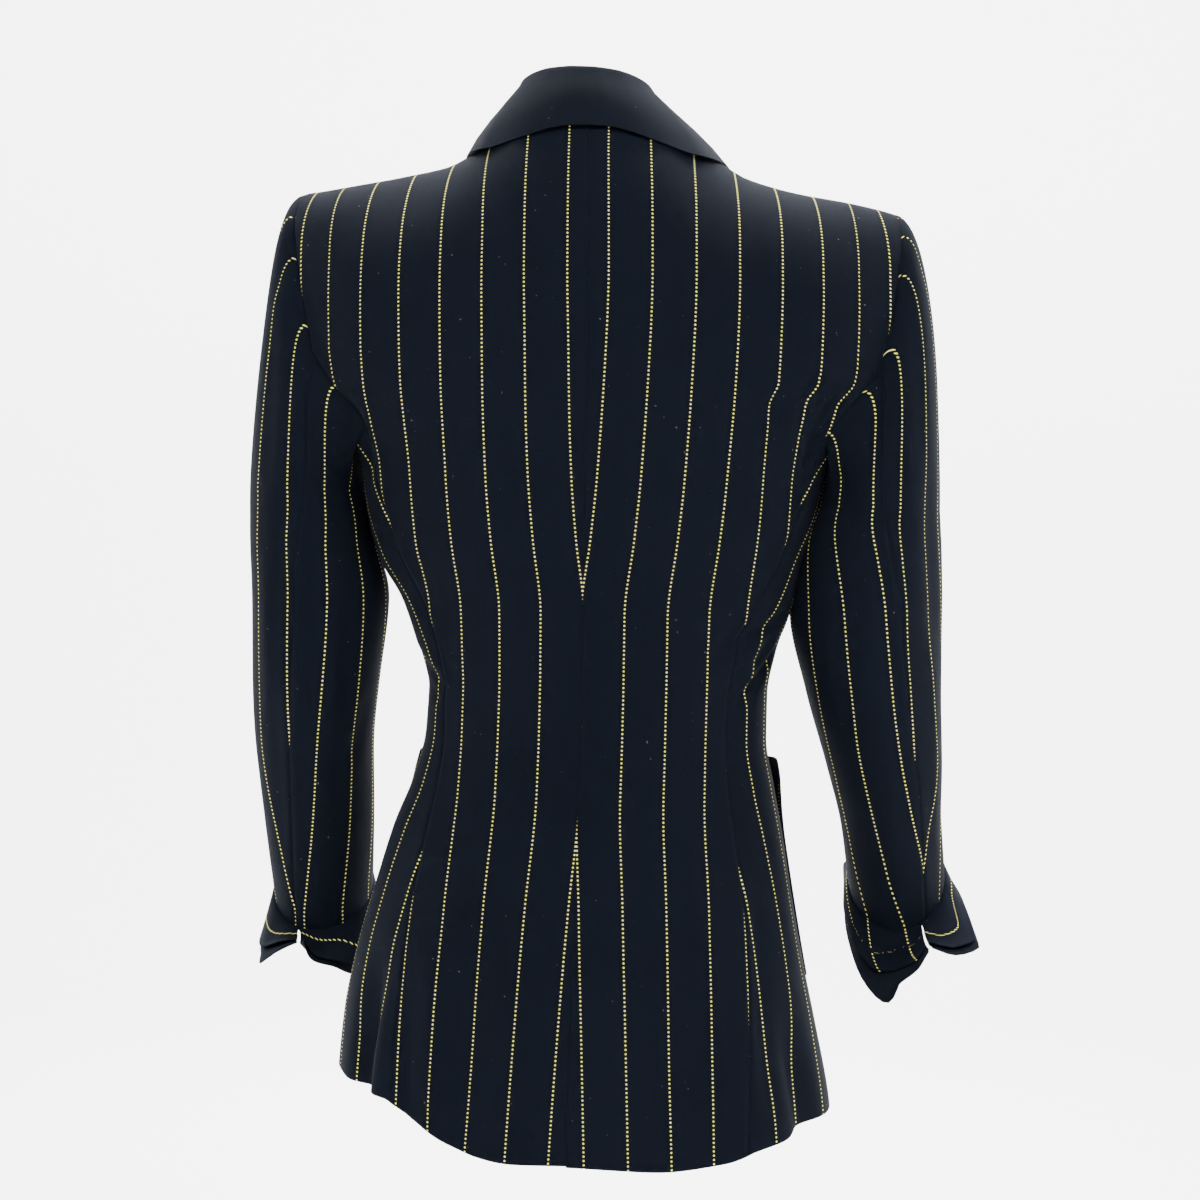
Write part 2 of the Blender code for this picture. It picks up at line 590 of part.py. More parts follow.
def collar_points(side_angles):
    """Grid of the collar: along it by signed angle, across it from the foot of the stand to the free edge."""
    rows = []
    for signed in side_angles:
        side = 1.0 if signed >= 0 else -1.0
        angle = abs(signed)
        fold = np.array([side * smooth(COLLAR, "fold_x", angle, "angle"), smooth(COLLAR, "fold_y", angle, "angle"),
                         smooth(COLLAR, "fold_z", angle, "angle")])
        edge = np.array([side * smooth(COLLAR, "edge_x", angle, "angle"), smooth(COLLAR, "edge_y", angle, "angle"),
                         smooth(COLLAR, "edge_z", angle, "angle")])
        out = edge - fold
        out[2] = 0
        out = out / np.linalg.norm(out)
        up = np.array([0, 0, 1.0])
        if angle <= COLLAR_SHOULDER:
            foot = shoulder_point(NECK_POINT[0] * math.sin(math.radians(angle / COLLAR_SHOULDER * 90)) * 0.999)
        else:
            past = (angle - COLLAR_SHOULDER) / (COLLAR_END - COLLAR_SHOULDER)
            foot = yoke(1.0, 0.0, 1 - COLLAR_DIP * past, True)
        foot = np.array(foot) * np.array([side, 1, 1])
        foot = foot + up * COLLAR_RISE - out * (COLLAR_WALL + COLLAR_INSET)
        turn_in = fold - out * COLLAR_ROLL
        row = [foot, foot + (turn_in - foot) * 0.4 - out * 0.5, foot + (turn_in - foot) * 0.75 - out * 0.4]
        for turn in (180, 130, 90, 50, 0):
            row.append(fold + COLLAR_ROLL * (out * math.cos(math.radians(turn)) + up * math.sin(math.radians(turn))))
        start = row[-1]
        for share in (0.25, 0.5, 0.75, 1.0):
            bow = math.sin(math.pi * share) * COLLAR_BOW
            row.append(start + (edge - start) * share + (out * 0.8 + up * 0.5) * bow)
        rows.append(row)
    return np.array(rows)


def lapel_surface(side):
    """The front turned back on itself: u runs from the roll line to the free edge, v from the break to the gorge."""
    front = front_surface(side)

    def at(u, v):
        u, v = np.broadcast_arrays(np.asarray(u, float), np.asarray(v, float))
        up = LAPEL[0]["up"] + (LAPEL[-1]["up"] - LAPEL[0]["up"]) * v
        width = np.linalg.norm(front(0 * u, up) - front(0 * u + 1, up), axis=-1)
        out = smooth(LAPEL, "reach", up, "up") * u - LAPEL_ROLL * (1 - u)
        up = up - smooth(LAPEL, "droop", up, "up") * np.clip(u, 0, None) ** 1.5
        place = np.minimum(1 - out / width, 1.0)
        point = front(place, up)
        n = normals(front, place, up, side > 0)
        past = np.clip(LAPEL_ROLL - np.maximum(out + LAPEL_ROLL, 0), 0, None)
        lift = LAPEL_LIFT + LAPEL_BOW * np.sin(np.pi * np.clip(u, 0, 1))
        return point + n * lift[..., None] - past[..., None] * np.array([side * 0.8, 0, 0])
    return at


def pocket_surface(side):
    """A patch over the front, drawn up from its lower edge and gaping along its top."""
    def at(u, v):
        u, v = np.broadcast_arrays(np.asarray(u, float), np.asarray(v, float))
        angle = side * (POCKET["side"] + (POCKET["centre"] - POCKET["side"]) * u)
        z = POCKET["bottom"] + (POCKET["top"] - POCKET["bottom"]) * v
        swing = np.sin(np.pi * np.clip(u, 0, 1))
        lift = LIFT + WALL + POCKET["belly"] * swing ** 0.7 * np.sin(np.pi * np.clip(v, 0, 1)) ** 0.7
        open_to = POCKET["ends"] + (1 - POCKET["ends"]) * swing
        gape = POCKET["gape"] * open_to * ease((v - POCKET["gape_from"]) / (1 - POCKET["gape_from"])) ** 1.5
        base = ring(angle, z)
        out = base * np.array([1, 1, 0])
        out = out / np.linalg.norm(out, axis=-1, keepdims=True)
        return base + out * (lift + gape)[..., None]
    return at


def build_lapels(plain):
    for side, name in ((-1, "left"), (1, "right")):
        u = np.array([0, 0.06, 0.25, 0.5, 0.75, 1.0])
        v = np.linspace(0, 1, 15)
        panel("lapel_" + name, lapel_surface(side), u, v, plain, side < 0, LAPEL_WALL)


def build_pockets(striped):
    for side, name in ((-1, "left"), (1, "right")):
        u = np.linspace(0, 1, 9)
        v = np.array([0, 0.15, 0.35, 0.55, 0.7, 0.82, 0.92, 1.0])
        panel("pocket_" + name, pocket_surface(side), u, v, striped, side > 0)


def build_buttons(horn):
    front = front_surface(1)
    for button in BUTTONS:
        z = button["z"]
        outer = smooth(BODY, "front_angle", z)
        inner = front_angle(1, 1.0, z)
        u = np.array((180 - outer) / (inner - outer))
        v = np.array(1 + (z - HIP) / (BLADE - HIP))
        n = normals(front, u, v, True)
        centre = front(u, v) + n * (LIFT + BUTTON_THICK / 2)
        bpy.ops.mesh.primitive_cylinder_add(vertices=28, radius=BUTTON_RADIUS * MM, depth=BUTTON_THICK * MM)
        made = bpy.context.object
        made.name = button["name"]
        made.data.name = button["name"]
        made.location = tuple(stance(centre) * MM)
        made.rotation_euler = Vector(n.tolist()).to_track_quat("Z", "Y").to_euler()
        made.data.materials.append(horn)
        edge = made.modifiers.new("rim", "BEVEL")
        edge.width = BUTTON_RIM * MM
        edge.segments = 2
        for group in made.users_collection:
            group.objects.unlink(made)
        bpy.data.collections["blazer"].objects.link(made)


def grid_normals(points):
    along = np.gradient(points, axis=0)
    across = np.gradient(points, axis=1)
    n = np.cross(across, along)
    return n / np.maximum(np.linalg.norm(n, axis=-1, keepdims=True), 1e-12)


def panel(name, surface, u, v, cloth, out, thick=WALL, lift=0.0):
    """One cut piece: a wall under a surface, or on it when it is lifted."""
    uu, vv = np.meshgrid(u, v)
    points = surface(uu, vv)
    n = normals(surface, uu, vv, out)
    return wall(name, points + n * lift, points + n * (lift - thick), cloth)


def ring_rows(top):
    return np.array([1 + (z - HIP) / (top - HIP) for z in LEVELS if z <= top])


def build_body(striped):
    rows = np.linspace(0, 1, 5)
    for side, name in ((-1, "left"), (1, "right")):
        seam = GAP / 2
        u = shrink(np.array([0, 0.12, 0.23, 0.338, 0.45, 0.56, 0.67, 0.78, 0.89, 1.0]), seam, seam, 120)
        v = np.concatenate([rows, ring_rows(BLADE), np.linspace(2, 3, 9)[1:]])
        v[-1] -= seam / 180
        panel("back_" + name, back_surface(side), u, v, striped, side > 0)
        u = shrink(np.linspace(0, 1, 9), seam, seam, 130)
        v = np.concatenate([rows, ring_rows(SEAM_TOP)])
        panel("side_" + name, side_surface(side), u, v, striped, side > 0)
        u = shrink(np.linspace(0, 1, 9), 2.5 * seam, 0, 90)
        v = np.concatenate([rows, ring_rows(BLADE), np.linspace(2, 3, 9)[1:]])
        v[-1] -= seam / 180
        panel("front_" + name, front_surface(side), u, v, striped, side > 0)


def build_sleeves(striped):
    for side, name, table in ((-1, "left", SLEEVE_LEFT), (1, "right", SLEEVE_RIGHT)):
        v = np.concatenate([np.array([0, 0.08, 0.2, 0.35, 0.55, 0.78, 1.0]), np.linspace(1, 2, 11)[1:]])
        u = shrink(np.linspace(0, 1, 15), ARM_SEAM_GAP / 2, ARM_SEAM_GAP / 2, 150)
        panel("sleeve_upper_" + name, sleeve_surface(side, table, name, False), u, v, striped, side < 0)
        u = shrink(np.linspace(0, 1, 9), ARM_SEAM_GAP / 2, ARM_SEAM_GAP / 2, 110)
        panel("sleeve_under_" + name, sleeve_surface(side, table, name, True), u, v, striped, side < 0)


def build_cuffs(striped, plain):
    for side, name, table, edge in ((-1, "left", SLEEVE_LEFT, CUFF_LEFT), (1, "right", SLEEVE_RIGHT, CUFF_RIGHT)):
        u = np.linspace(0, 1, 27)
        v = np.array([0, 0.2, 0.45, 0.72, 1.0])
        panel("cuff_" + name, cuff_surface(side, table, edge), u, v, striped, side < 0, CUFF_WALL)
        v = np.array([0.16, 0.3, 0.5, 0.75, 1.0])
        panel("cuff_facing_" + name, cuff_surface(side, table, edge, True), u, v, plain, side < 0, FACING_WALL,
              -CUFF_WALL - FACING_GAP)


def build_collar(plain):
    angles = np.linspace(-COLLAR_END, COLLAR_END, 27)
    points = collar_points(angles)
    n = grid_normals(points)
    wall("collar", points, points - n * COLLAR_WALL, plain)


def main():
    for old in list(bpy.data.objects):
        bpy.data.objects.remove(old, do_unlink=True)
    group = bpy.data.collections.new("blazer")
    bpy.context.scene.collection.children.link(group)
    striped = material("striped_wool", STRIPED, 0.72)
    plain = material("plain_wool", PLAIN, 0.78)
    build_body(striped)
    build_sleeves(striped)
    build_cuffs(striped, plain)
    build_collar(plain)
    build_lapels(plain)
    build_pockets(striped)
    build_buttons(material("horn", HORN, 0.35))


main()
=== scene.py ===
"""The look of the blazer: thin cloth shells on the form of its solids, with stripes, seams, creases and wear.

Lengths are in millimetres until a mesh is made, as in the source of the solids.
"""

import math

import bpy
import numpy as np
from mathutils import Matrix, Vector


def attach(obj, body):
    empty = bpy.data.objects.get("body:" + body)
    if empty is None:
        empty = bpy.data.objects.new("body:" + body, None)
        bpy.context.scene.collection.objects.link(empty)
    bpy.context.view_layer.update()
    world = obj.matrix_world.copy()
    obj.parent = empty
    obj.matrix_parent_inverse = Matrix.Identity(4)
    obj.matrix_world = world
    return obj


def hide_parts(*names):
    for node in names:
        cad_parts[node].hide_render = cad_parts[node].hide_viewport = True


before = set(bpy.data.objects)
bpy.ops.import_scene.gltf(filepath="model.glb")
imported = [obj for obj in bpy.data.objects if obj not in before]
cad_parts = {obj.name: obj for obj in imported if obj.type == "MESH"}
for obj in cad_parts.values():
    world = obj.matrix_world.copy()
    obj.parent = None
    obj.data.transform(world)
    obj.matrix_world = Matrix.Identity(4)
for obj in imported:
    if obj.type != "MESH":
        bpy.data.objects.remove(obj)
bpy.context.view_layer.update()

MM = 0.001


def table(names, *rows):
    """Columns of numbers by name. The first is the one that the others are read by."""
    return dict(zip(names.split(), np.array(rows, float).T))


# Cloth
WALL = 1.5  # thickness of the suiting with its interlining
SLEEVE_GAP = -2.2  # the sleeve reaches this far into the body round the armhole, as its seam does
UNDERARM_GAP = -0.9  # and this much more under the arm
LIFT = 0.6  # space under a piece that lies on another
ON_TOP = WALL + LIFT + 0.5  # the right front lies this far outside the left one where they cross

# Stance of the wearer: the right shoulder drops, the left one rises, and the neck leans to the left
SHOULDER_DROP = 5.0  # at the shoulder tip, fading out at the hip
NECK_LEAN = 7.0
NECK_LEAN_OVER = 240.0 # height over which the lean grows, from the shoulder blades up

# Levels
BLADE = -120.0  # shoulder blades: the ring sections end and the yoke begins
HIP = -430.0  # below this the rows bend towards the hem
UNDERARM = -188.0  # lowest point of the armhole
SEAM_TOP = -170.0  # where the side back seam runs into the armhole

# Shoulder and neck
TIP = (213.0, 2.0, 0.0)
NECK_POINT = (64.0, -8.0, 56.0)
NAPE = (0.0, -60.0, 60.0)
NAPE_TURN = 38.0  # by how many degrees the yoke stops short of level at the nape

# Body sections: height, reach to the left and right, depth of back and front, squareness, the x of the side back
# seam, the angle of the side front seam and the x of the front edge
BODY = table(
    "z left right back front power back_seam front_angle edge",
    (-720, 181, 186, 118, 106, 2.35, 123, 104, -14),
    (-650, 178, 180, 117, 106, 2.35, 123, 104, -14),
    (-592, 174, 169, 115, 106, 2.3, 122, 104, -14),
    (-541, 165, 158, 112, 105, 2.3, 120, 103, -14),
    (-500, 154, 150, 106, 102, 2.3, 116, 102, -14),
    (-455, 141, 142, 97, 98, 2.25, 109, 100, -14),
    (-420, 127, 135, 90, 95, 2.2, 103, 99, -14),
    (-386, 119, 129, 86, 94, 2.2, 100, 98, -14),
    (-355, 118, 129, 86, 97, 2.2, 101, 97, -14),
    (-325, 127, 134, 89, 104, 2.2, 106, 97, -8),
    (-292, 139, 144, 94, 115, 2.25, 117, 98, 2),
    (-262, 157, 150, 99, 122, 2.3, 133, 100, 9),
    (-232, 166, 158.5, 103, 123, 2.35, 144, 104, 16),
    (-200, 171, 165, 106, 119, 2.4, 155, 113, 23),
    (-170, 186, 180, 107, 112, 2.5, 166, 127, 30),
    (-145, 204, 202, 107, 106, 2.6, 184, 129, 36),
    (-120, 216, 214, 107, 101, 2.6, 202, 130, 42),
)

# Armhole above the shoulder blades: share of the way up, and the x of its back and front edges
ARMHOLE = table(
    "rise back front",
    (0, 202, 176), (0.2, 210, 183), (0.4, 216, 190), (0.6, 219, 197), (0.8, 218, 205), (1, 213, 213),
)

# Shoulder seam from the neck to the tip
SHOULDER = table(
    "x y z",
    (64, -8, 56), (80, -7, 38), (95, -6, 27), (107, -5, 20.5), (140, -3, 12.5), (178, 0, 6.5), (213, 2, 0),
)

# Hem height round the body, by angle from the centre back
HEM = table(
    "angle left right",
    (0, -673, -674), (12, -674, -675), (21, -671, -676), (28, -664, -675), (36, -649, -671), (43, -638, -664),
    (54, -636, -659), (64, -634, -653), (76, -631, -650), (92, -632, -650), (125, -640, -648), (150, -648, -650),
    (166, -644, -646), (180, -616, -618),
)

HEM_BACK_SEAM = 40.0  # angle of the side back seam at the hem
HEM_FRONT_SEAM = 104.0

# Where the right front starts to lie over the left one: edge_from and edge_span in x, and the share of its width
LAP = dict(edge_from=30.0, edge_span=24.0, share_from=0.5, share_span=0.3)

# Large folds: angle and height of both ends, half width, depth inwards (negative stands proud)
FOLDS = [
    (-58, -690, -55, -560, 13, 8), (-46, -690, -47, -575, 14, -3), (66, -690, 60, -580, 15, 5),
    (-22, -700, -20, -560, 18, 3), (28, -700, 24, -560, 18, 3), (-132, -680, -128, -580, 15, 4),
    (135, -680, 130, -580, 15, 4), (60, -352, 88, -318, 6, 3), (46, -318, 76, -296, 6, 2.5),
    (-62, -350, -86, -330, 6, 2), (54, -150, 66, -196, 9, 4), (-58, -160, -68, -205, 9, 3),
]
ARC_PER_DEGREE = 2.3  # how far one degree of angle reaches along the cloth, for the folds
FOLD_START = (0.35, 0.35)
FOLD_END = (1.25, 0.6)

# Collar: stand and fall by angle from the centre back, and its section
COLLAR_END = 112.0  # angle where the collar ends on each front
COLLAR_WALL = 1.8
COLLAR_ROLL = 3.6  # radius of the fold
COLLAR_SWAY = -6.0  # the roll of the collar leans this far to the left
COLLAR_RISE = 1.0  # the stand starts this far above the neck seam
COLLAR_INSET = 0.4  # and this far inside it, past its own thickness
COLLAR_BOW = 2.5  # how far the fall is rounded outwards
COLLAR_SHOULDER = 85.0 # angle where the neck seam crosses the shoulder seam
COLLAR_DIP = 0.14  # how far down the front's edge the neck seam ends
COLLAR_STAND = ((0.4, 0.5), (0.75, 0.4))  # share of the way up the stand, and how far it leans in there
COLLAR_ROLL_TURNS = (180, 130, 90, 50, 0)
JUST_INSIDE = 0.999  # keeps the last point of the neck off the shoulder seam
COLLAR = table(
    "angle fold_x fold_y fold_z edge_x edge_y edge_z",
    (0, 0, -54, 84, 0, -76, 42),
    (8, 7.2, -53.8, 84, 12, -75.9, 41.7),
    (18, 16, -52, 83.6, 27, -75, 39.4),
    (30, 26, -48, 83, 44, -72, 34.5),
    (60, 43, -30, 79, 76, -58, 27),
    (74, 47, -17, 76, 89, -36, 28),
    (85, 49, -6, 74, 96, -8, 29.5),
    (100, 52, 10, 67, 99, 24, 27),
    (112, 54, 24, 60, 98, 54, 15),
)

# Lapel: place up the front edge (2 is level with the shoulder blades), reach from the roll line, droop of its edge
LAPEL = table(
    "up reach droop",
    (1.47, 4, 0), (1.6, 26, 0.02), (1.8, 52, 0.04), (2, 70, 0.05), (2.25, 84, 0.07), (2.44, 90, 0.09),
    (2.58, 66, 0.13), (2.82, 30, 0.17),
)
LAPEL_LIFT = 2.3
LAPEL_BOW = 1.6
LAPEL_ROLL = 2.0  # how far the rolled edge stands past the front's own edge
LAPEL_WALL = 1.4

# Places round the armhole from the shoulder tip: where the shoulder blade, the side back seam, the side front seam
# and the chest are
ROUND_BLADE = 0.3
ROUND_BACK = 0.4
ROUND_SIDE = 0.56
ROUND_CHEST = 0.66

# Arm line of each sleeve: height, centre and half widths across and front to back, turned by the lean of the arm
SLEEVE_LEFT = table(
    "z x y across deep lean",
    (-512, -209, 76, 38, 46, 42), (-460, -209, 54, 41, 43, 28), (-407, -209, 33, 43, 46, 20),
    (-350, -206, 16, 47, 51, 14), (-292, -203, 8, 50, 57, 8), (-250, -209, 5, 45, 60, 4), (-215, -213, 3, 41, 62, 2),
)
SLEEVE_RIGHT = table(
    "z x y across deep lean",
    (-490, 228, 68, 36, 46, 55), (-450, 223, 48, 37, 43, 30), (-407, 216, 30, 42, 46, 20),
    (-350, 205, 14, 49, 51, 14), (-292, 198, 8, 55, 57, 8), (-250, 200, 5, 52, 60, 4), (-215, 206, 3, 44, 62, 2),
)

# Angle of each sleeve's seams by the place along it: 0 at the armhole, 1 where the head ends and 2 at the cuff
SLEEVE_SEAMS = table(
    "place back_left back_right front_left front_right",
    (0, -25, -24, 227, 227), (1, -13, 1, 207, 216), (1.12, 0, 15, 205, 215), (1.27, 9, 25, 205, 215),
    (1.5, 12, 30, 205, 215), (1.65, 14, 32, 205, 215), (2, 23, 38, 205, 215),
)

# How the sleeve head leaves the armhole and how it meets the arm, as shares of its fall
HEAD_OUT = 0.36
HEAD_BACK = 0.14
HEAD_UP = 0.04
HEAD_DOWN = 0.86
UNDERARM_ANGLE = 12.0  # the sleeve's gap is widest this far past the inside of the arm

# Where the sleeve head meets the armhole: turn round the sleeve and share of the way round the armhole
ROUND = table(
    "turn share",
    (0, 0), (0.25, 0.25), (0.5, 0.48), (0.75, 0.74), (1, 1),
)

# Free edge of each cuff: angle round the arm from the back outwards, then across, forwards and up from the arm line,
# and how far the plain facing reaches past it
CUFF_LEFT = table(
    "angle across forward up past",
    (25, 9, -56, -34, 4), (38, 22, -56, -38, 9), (50, 34, -50, -43, 15), (64, 40, -40, -44, 6), (90, 48, -4, -44, 4),
    (140, 42, 44, -30, 5), (180, 4, 66, -10, 5), (225, -34, 46, -16, 5), (270, -46, 6, -40, 5),
    (295, -34, -26, -61, 4), (320, -21, -44, -53, 4), (350, -5, -54, -46, 4), (372, 2, -50, -36, 4),
)
CUFF_RIGHT = table(
    "angle across forward up past",
    (38, 25, -44, -43, 4), (52, 40, -46, -46, 6), (68, 58, -34, -40, 6), (90, 54, 0, -24, 5), (140, 44, 46, -6, 5),
    (180, 2, 68, 8, 5), (225, -38, 48, 0, 6), (270, -39, 2, -24, 10), (295, -32, -22, -48, 18),
    (318, -14, -44, -66, 25), (335, -2, -50, -63, 11), (365, 12, -50, -56, 7), (384, 21, -44, -46, 4),
)
CUFF_STEP = 0.1  # the cuff springs from this far outside the sleeve
CUFF_BELLY = 5.0  # how far its middle hangs under the straight line to its edge
CUFF_SAG_OUT = 0.2  # the way it hangs, outwards and down
CUFF_SAG_DOWN = 0.8
CUFF_WALL = 1.2
FACING_WALL = 1.0
FACING_GAP = 1.6  # space between the striped cuff and its facing
FACING_FROM = 0.16  # share of the cuff where the facing starts

# Patch pockets on the fronts: heights, angles of the sides, how far the mouth gapes in the middle and what share of
# that at its ends, the share of the height where the gape starts, and how far the patch swells
POCKET = dict(top=-402, bottom=-560, side=98, centre=146, gape=11.0, ends=0.42, gape_from=0.55, belly=4.0)

# Looks. The flat cloth: where stripes and dots fall, in millimetres
STRIPE_PITCH = 30.0
DOT_PITCH = 2.9
DOT_RADIUS = 0.64

# How far the centre back seam takes the stripes towards itself, by height
WAIST_TAKE = table(
    "z take",
    (-690, -1), (-600, -5.5), (-500, -11), (-425, -15.5), (-300, -15.5), (-248, -9.5), (-204, -5.5), (-120, -1.5),
    (-60, 0), (60, 0),
)

# Distance of the first stripe from the back seam of each sleeve, on the upper piece and on the under piece, by height
STRIPES = dict(
    upper_left=table(
        "z gap",
        (-529, -30), (-470, -15), (-397, 0), (-330, 4), (-250, 8), (-221, 12), (-128, 13.5),
    ),
    under_left=table(
        "z gap",
        (-529, 8), (-462, 16), (-397, 21), (-320, 24), (-250, 21), (-221, 16), (-128, 15),
    ),
    upper_right=table(
        "z gap",
        (-520, -30), (-478, -23), (-396, 0), (-351, 2.5), (-295, 4.7), (-249, 7.7), (-214, 11.7), (-125, 8),
    ),
    under_right=table(
        "z gap",
        (-520, -12), (-478, 0), (-396, 11.5), (-351, 12), (-295, 11.4), (-249, 11.3), (-214, 8), (-125, 4.4),
    ),
)
# How far the grain turns in the head of each sleeve, by angle
BACK_TWIST = [(-135, -20, -20), (-90, 0, 2), (-64, 3, 8), (-36, 7, 22), (-12, 12, 30), (20, 20, 20)]
HEAD_TWIST = table(
    "angle left right", *BACK_TWIST, (50, 26, 20), (90, 24, 22), (150, 0, 0),
    *[(angle + 360, left, right) for angle, left, right in BACK_TWIST],
)
# How far the stripes lean towards the neck at the top of the back
YOKE_LEAN = dict(left=7.0, right=9.0)
# Where the cloth folded under the right arm draws the stripes in: by how much, and where in the picture this sets in
# and is whole, across and down, and from the foot up
ARM_PULL = dict(shift=9.0, x=(735, 800), top=(384, 408), foot=(610, 430))

# Buttons: the piece each one dresses and its height, and the profile from the middle of the face round to the back
BUTTONS = [("button_top", -316), ("button_low", -416)]
BUTTON_THICK = 3.2
BUTTON_PROFILE = [
    (0, 0.7), (3.4, 0.7), (4.3, 0.95), (7.6, 1.5), (8.9, 1.6), (9.6, 1.3), (10, 0.6), (10, -0.7), (9.1, -1.6),
    (0, -1.6),
]
THREAD_PROFILE = [(0, -1.5), (0.35, -1.3), (0.42, 0), (0.35, 1.3), (0, 1.5)]
THREAD_OUT = 1.5
THREAD_UP = 0.85

SLIT_STRIPE = 13.5  # first stripe beside the slit of the right cuff
SLIT_BLEND = 8.0
SIDE_STRIPE = 8.0  # first stripe of a side panel, from its middle
POCKET_STRIPE = 13.0  # first stripe of a pocket, from its side
FRONT_STRIPE = 12.0  # first stripe of a front, from its centre line
CUFF_STRIPE = 17.5  # first stripe round a cuff, from its free edge

# Creases and soft folds as they show from behind: both ends in the picture, half width there, and depth in
# millimetres (negative stands proud)
CREASES = [
    (798, 402, 815, 380, 7, 2.5), (752, 425, 786, 398, 8, 1.4), (733, 678, 748, 627, 5, 1.6),
    (742, 690, 759, 640, 6, -1), (751, 667, 773, 637, 5, 1.5), (722, 660, 735, 612, 6, 1),
    (430, 640, 452, 680, 6, 1.2), (418, 670, 440, 704, 5, 1), (412, 560, 430, 610, 8, 1.2),
    (398, 1000, 403, 1110, 7, 2.2), (425, 960, 430, 1130, 10, -1.6), (470, 900, 462, 1150, 16, 1.6),
    (640, 880, 655, 1150, 16, 1.5), (700, 860, 722, 1140, 14, -1.2), (752, 900, 770, 1100, 10, 1.6),
    (560, 900, 556, 1150, 14, -0.9), (500, 420, 512, 560, 14, 1), (660, 430, 645, 560, 14, 0.9),
    (268, 330, 262, 470, 6, 1), (278, 480, 272, 640, 6, 1.1), (262, 560, 264, 700, 5, -0.8),
    (307, 420, 305, 560, 5, 1), (312, 560, 305, 760, 6, 1.2), (270, 690, 280, 860, 6, 1),
    (330, 640, 322, 860, 6, -0.9), (348, 600, 340, 720, 6, 1), (298, 760, 302, 910, 5, 1),
    (356, 470, 340, 510, 7, 1.4), (286, 232, 272, 290, 6, 0.8), (366, 700, 352, 760, 6, 1.1),
    (910, 330, 918, 460, 6, 1), (925, 480, 932, 640, 6, 1.1), (892, 430, 900, 600, 6, 1),
    (872, 470, 884, 640, 6, 1.1), (850, 520, 866, 660, 6, -0.9), (905, 640, 914, 820, 6, 1.2),
    (888, 680, 902, 840, 6, 1), (930, 660, 934, 860, 5, -0.8), (832, 470, 850, 510, 7, 1.4),
    (838, 620, 852, 730, 6, 1.1), (862, 760, 884, 880, 6, 1), (915, 232, 925, 290, 6, 0.8),
]
PLANE_CENTRE = (592.0, 640.0)  # the picture's place that the creases are told from
PICTURE_SCALE = 0.73  # millimetres across one of its pixels, midway through the body
PICTURE_TOP = -435.6
CREASE_DEPTH = 1.5  # all creases are deepened by this
CREASE_START = (0.2, 0.4)
CREASE_END = (1.2, 0.4)
CALM_EDGE = 12.0  # creases fade out this near a seam or an edge
WAVE = 0.8  # slow unevenness of hanging cloth
BACK_TUCK = 0.004  # share of a back panel's width that reaches past the centre back seam
UPPER_SPREAD = dict(left=1.0, right=1.25)  # how much closer together the upper sleeve's stripes lie
SEAM_SINK = 0.9  # depth of the valley along a seam
SEAM_HALF = 1.5  # its half width
EDGE_ROUND = 0.7  # how far a free edge rounds down
EDGE_ROUND_OVER = 1.6
CLOTH_SHARP = 50  # angle in degrees from which an edge is shown sharp
BUTTON_SHARP = 35
HEM_ROWS = (0, 0.0025, 0.006)  # the first rows above a hem, and how far below the top the last ones are
TOP_ROWS = (0.015, 0.006, 0)
SLEEVE_ROWS = (0, 0.004, 0.01, 0.018)
SLEEVE_PAST = 0.012  # the sleeve runs on this far into the cuff

# The kinds of piece cut from plain cloth
PLAIN = ("collar", "lapel", "cuff_facing")

STRIPE_COLOUR = (0.88, 0.82, 0.20, 1.0)
NAVY = (0.0034, 0.0048, 0.0088)
NAVY_PLAIN = (0.0050, 0.0064, 0.0106)
TONES = (0.62, 1.42)  # the darkest and the lightest yarn, as shares of the cloth's colour
HORN_DARK = (0.002, 0.002, 0.0025, 1)
HORN_LIGHT = (0.010, 0.009, 0.008, 1)
TWILL_RIB = 0.75  # spacing of the twill's ribs

CAMERA_YAW = 4.3
CAMERA_ROLL = 1.4
CAMERA_PIXELS = 2192.0  # focal length in pixels of a 1200 pixel frame
CAMERA_HALF_FRAME = 600
CAMERA_AWAY = 1.6
CAMERA_TARGET = (0.005, 0.0, -0.289)

# Stage in metres: the floor is flat this far out, then curves up to a wall
FLOOR_Z = -1.15
FLOOR_FLAT = 3.0
FLOOR_CURVE = 1.2
FLOOR_HIGH = 5.0
FLOOR_AROUND = 64
WORLD_STRENGTH = 0.3
# Lights: name, place, what it is aimed at, width and height, and power in watts
LIGHTS = [
    ("key", (0.5, -1.5, 1.6), (0, 0, 0.1), (1.0, 1.0), 48),
    ("fill", (-1.6, -2.2, 0.9), (0, 0, -0.1), (1.6, 1.6), 6),
    ("top", (0.0, -0.5, 1.8), (0, 0, -0.2), (1.2, 1.2), 6),
    ("wall", (0.0, 1.0, 2.1), (0, 3.6, -0.9), (3.0, 1.2), 850),
]


def ease(t):
    t = np.clip(t, 0.0, 1.0)
    return t * t * (3 - 2 * t)


def between(value, start, end):
    """Smooth step from 0 at the start to 1 at the end."""
    return ease((value - start) / (end - start))


def swell(t):
    return np.sin(np.pi * np.clip(t, 0, 1))


def hermite(t, start, leave, end, arrive):
    """Smooth path from start to end that leaves and arrives with these slopes."""
    near = (1 + 2 * t) * (1 - t) ** 2 * start + t * (1 - t) ** 2 * leave
    return near + t * t * (3 - 2 * t) * end + t * t * (t - 1) * arrive


def stack(*parts):
    return np.stack(np.broadcast_arrays(*parts), axis=-1)


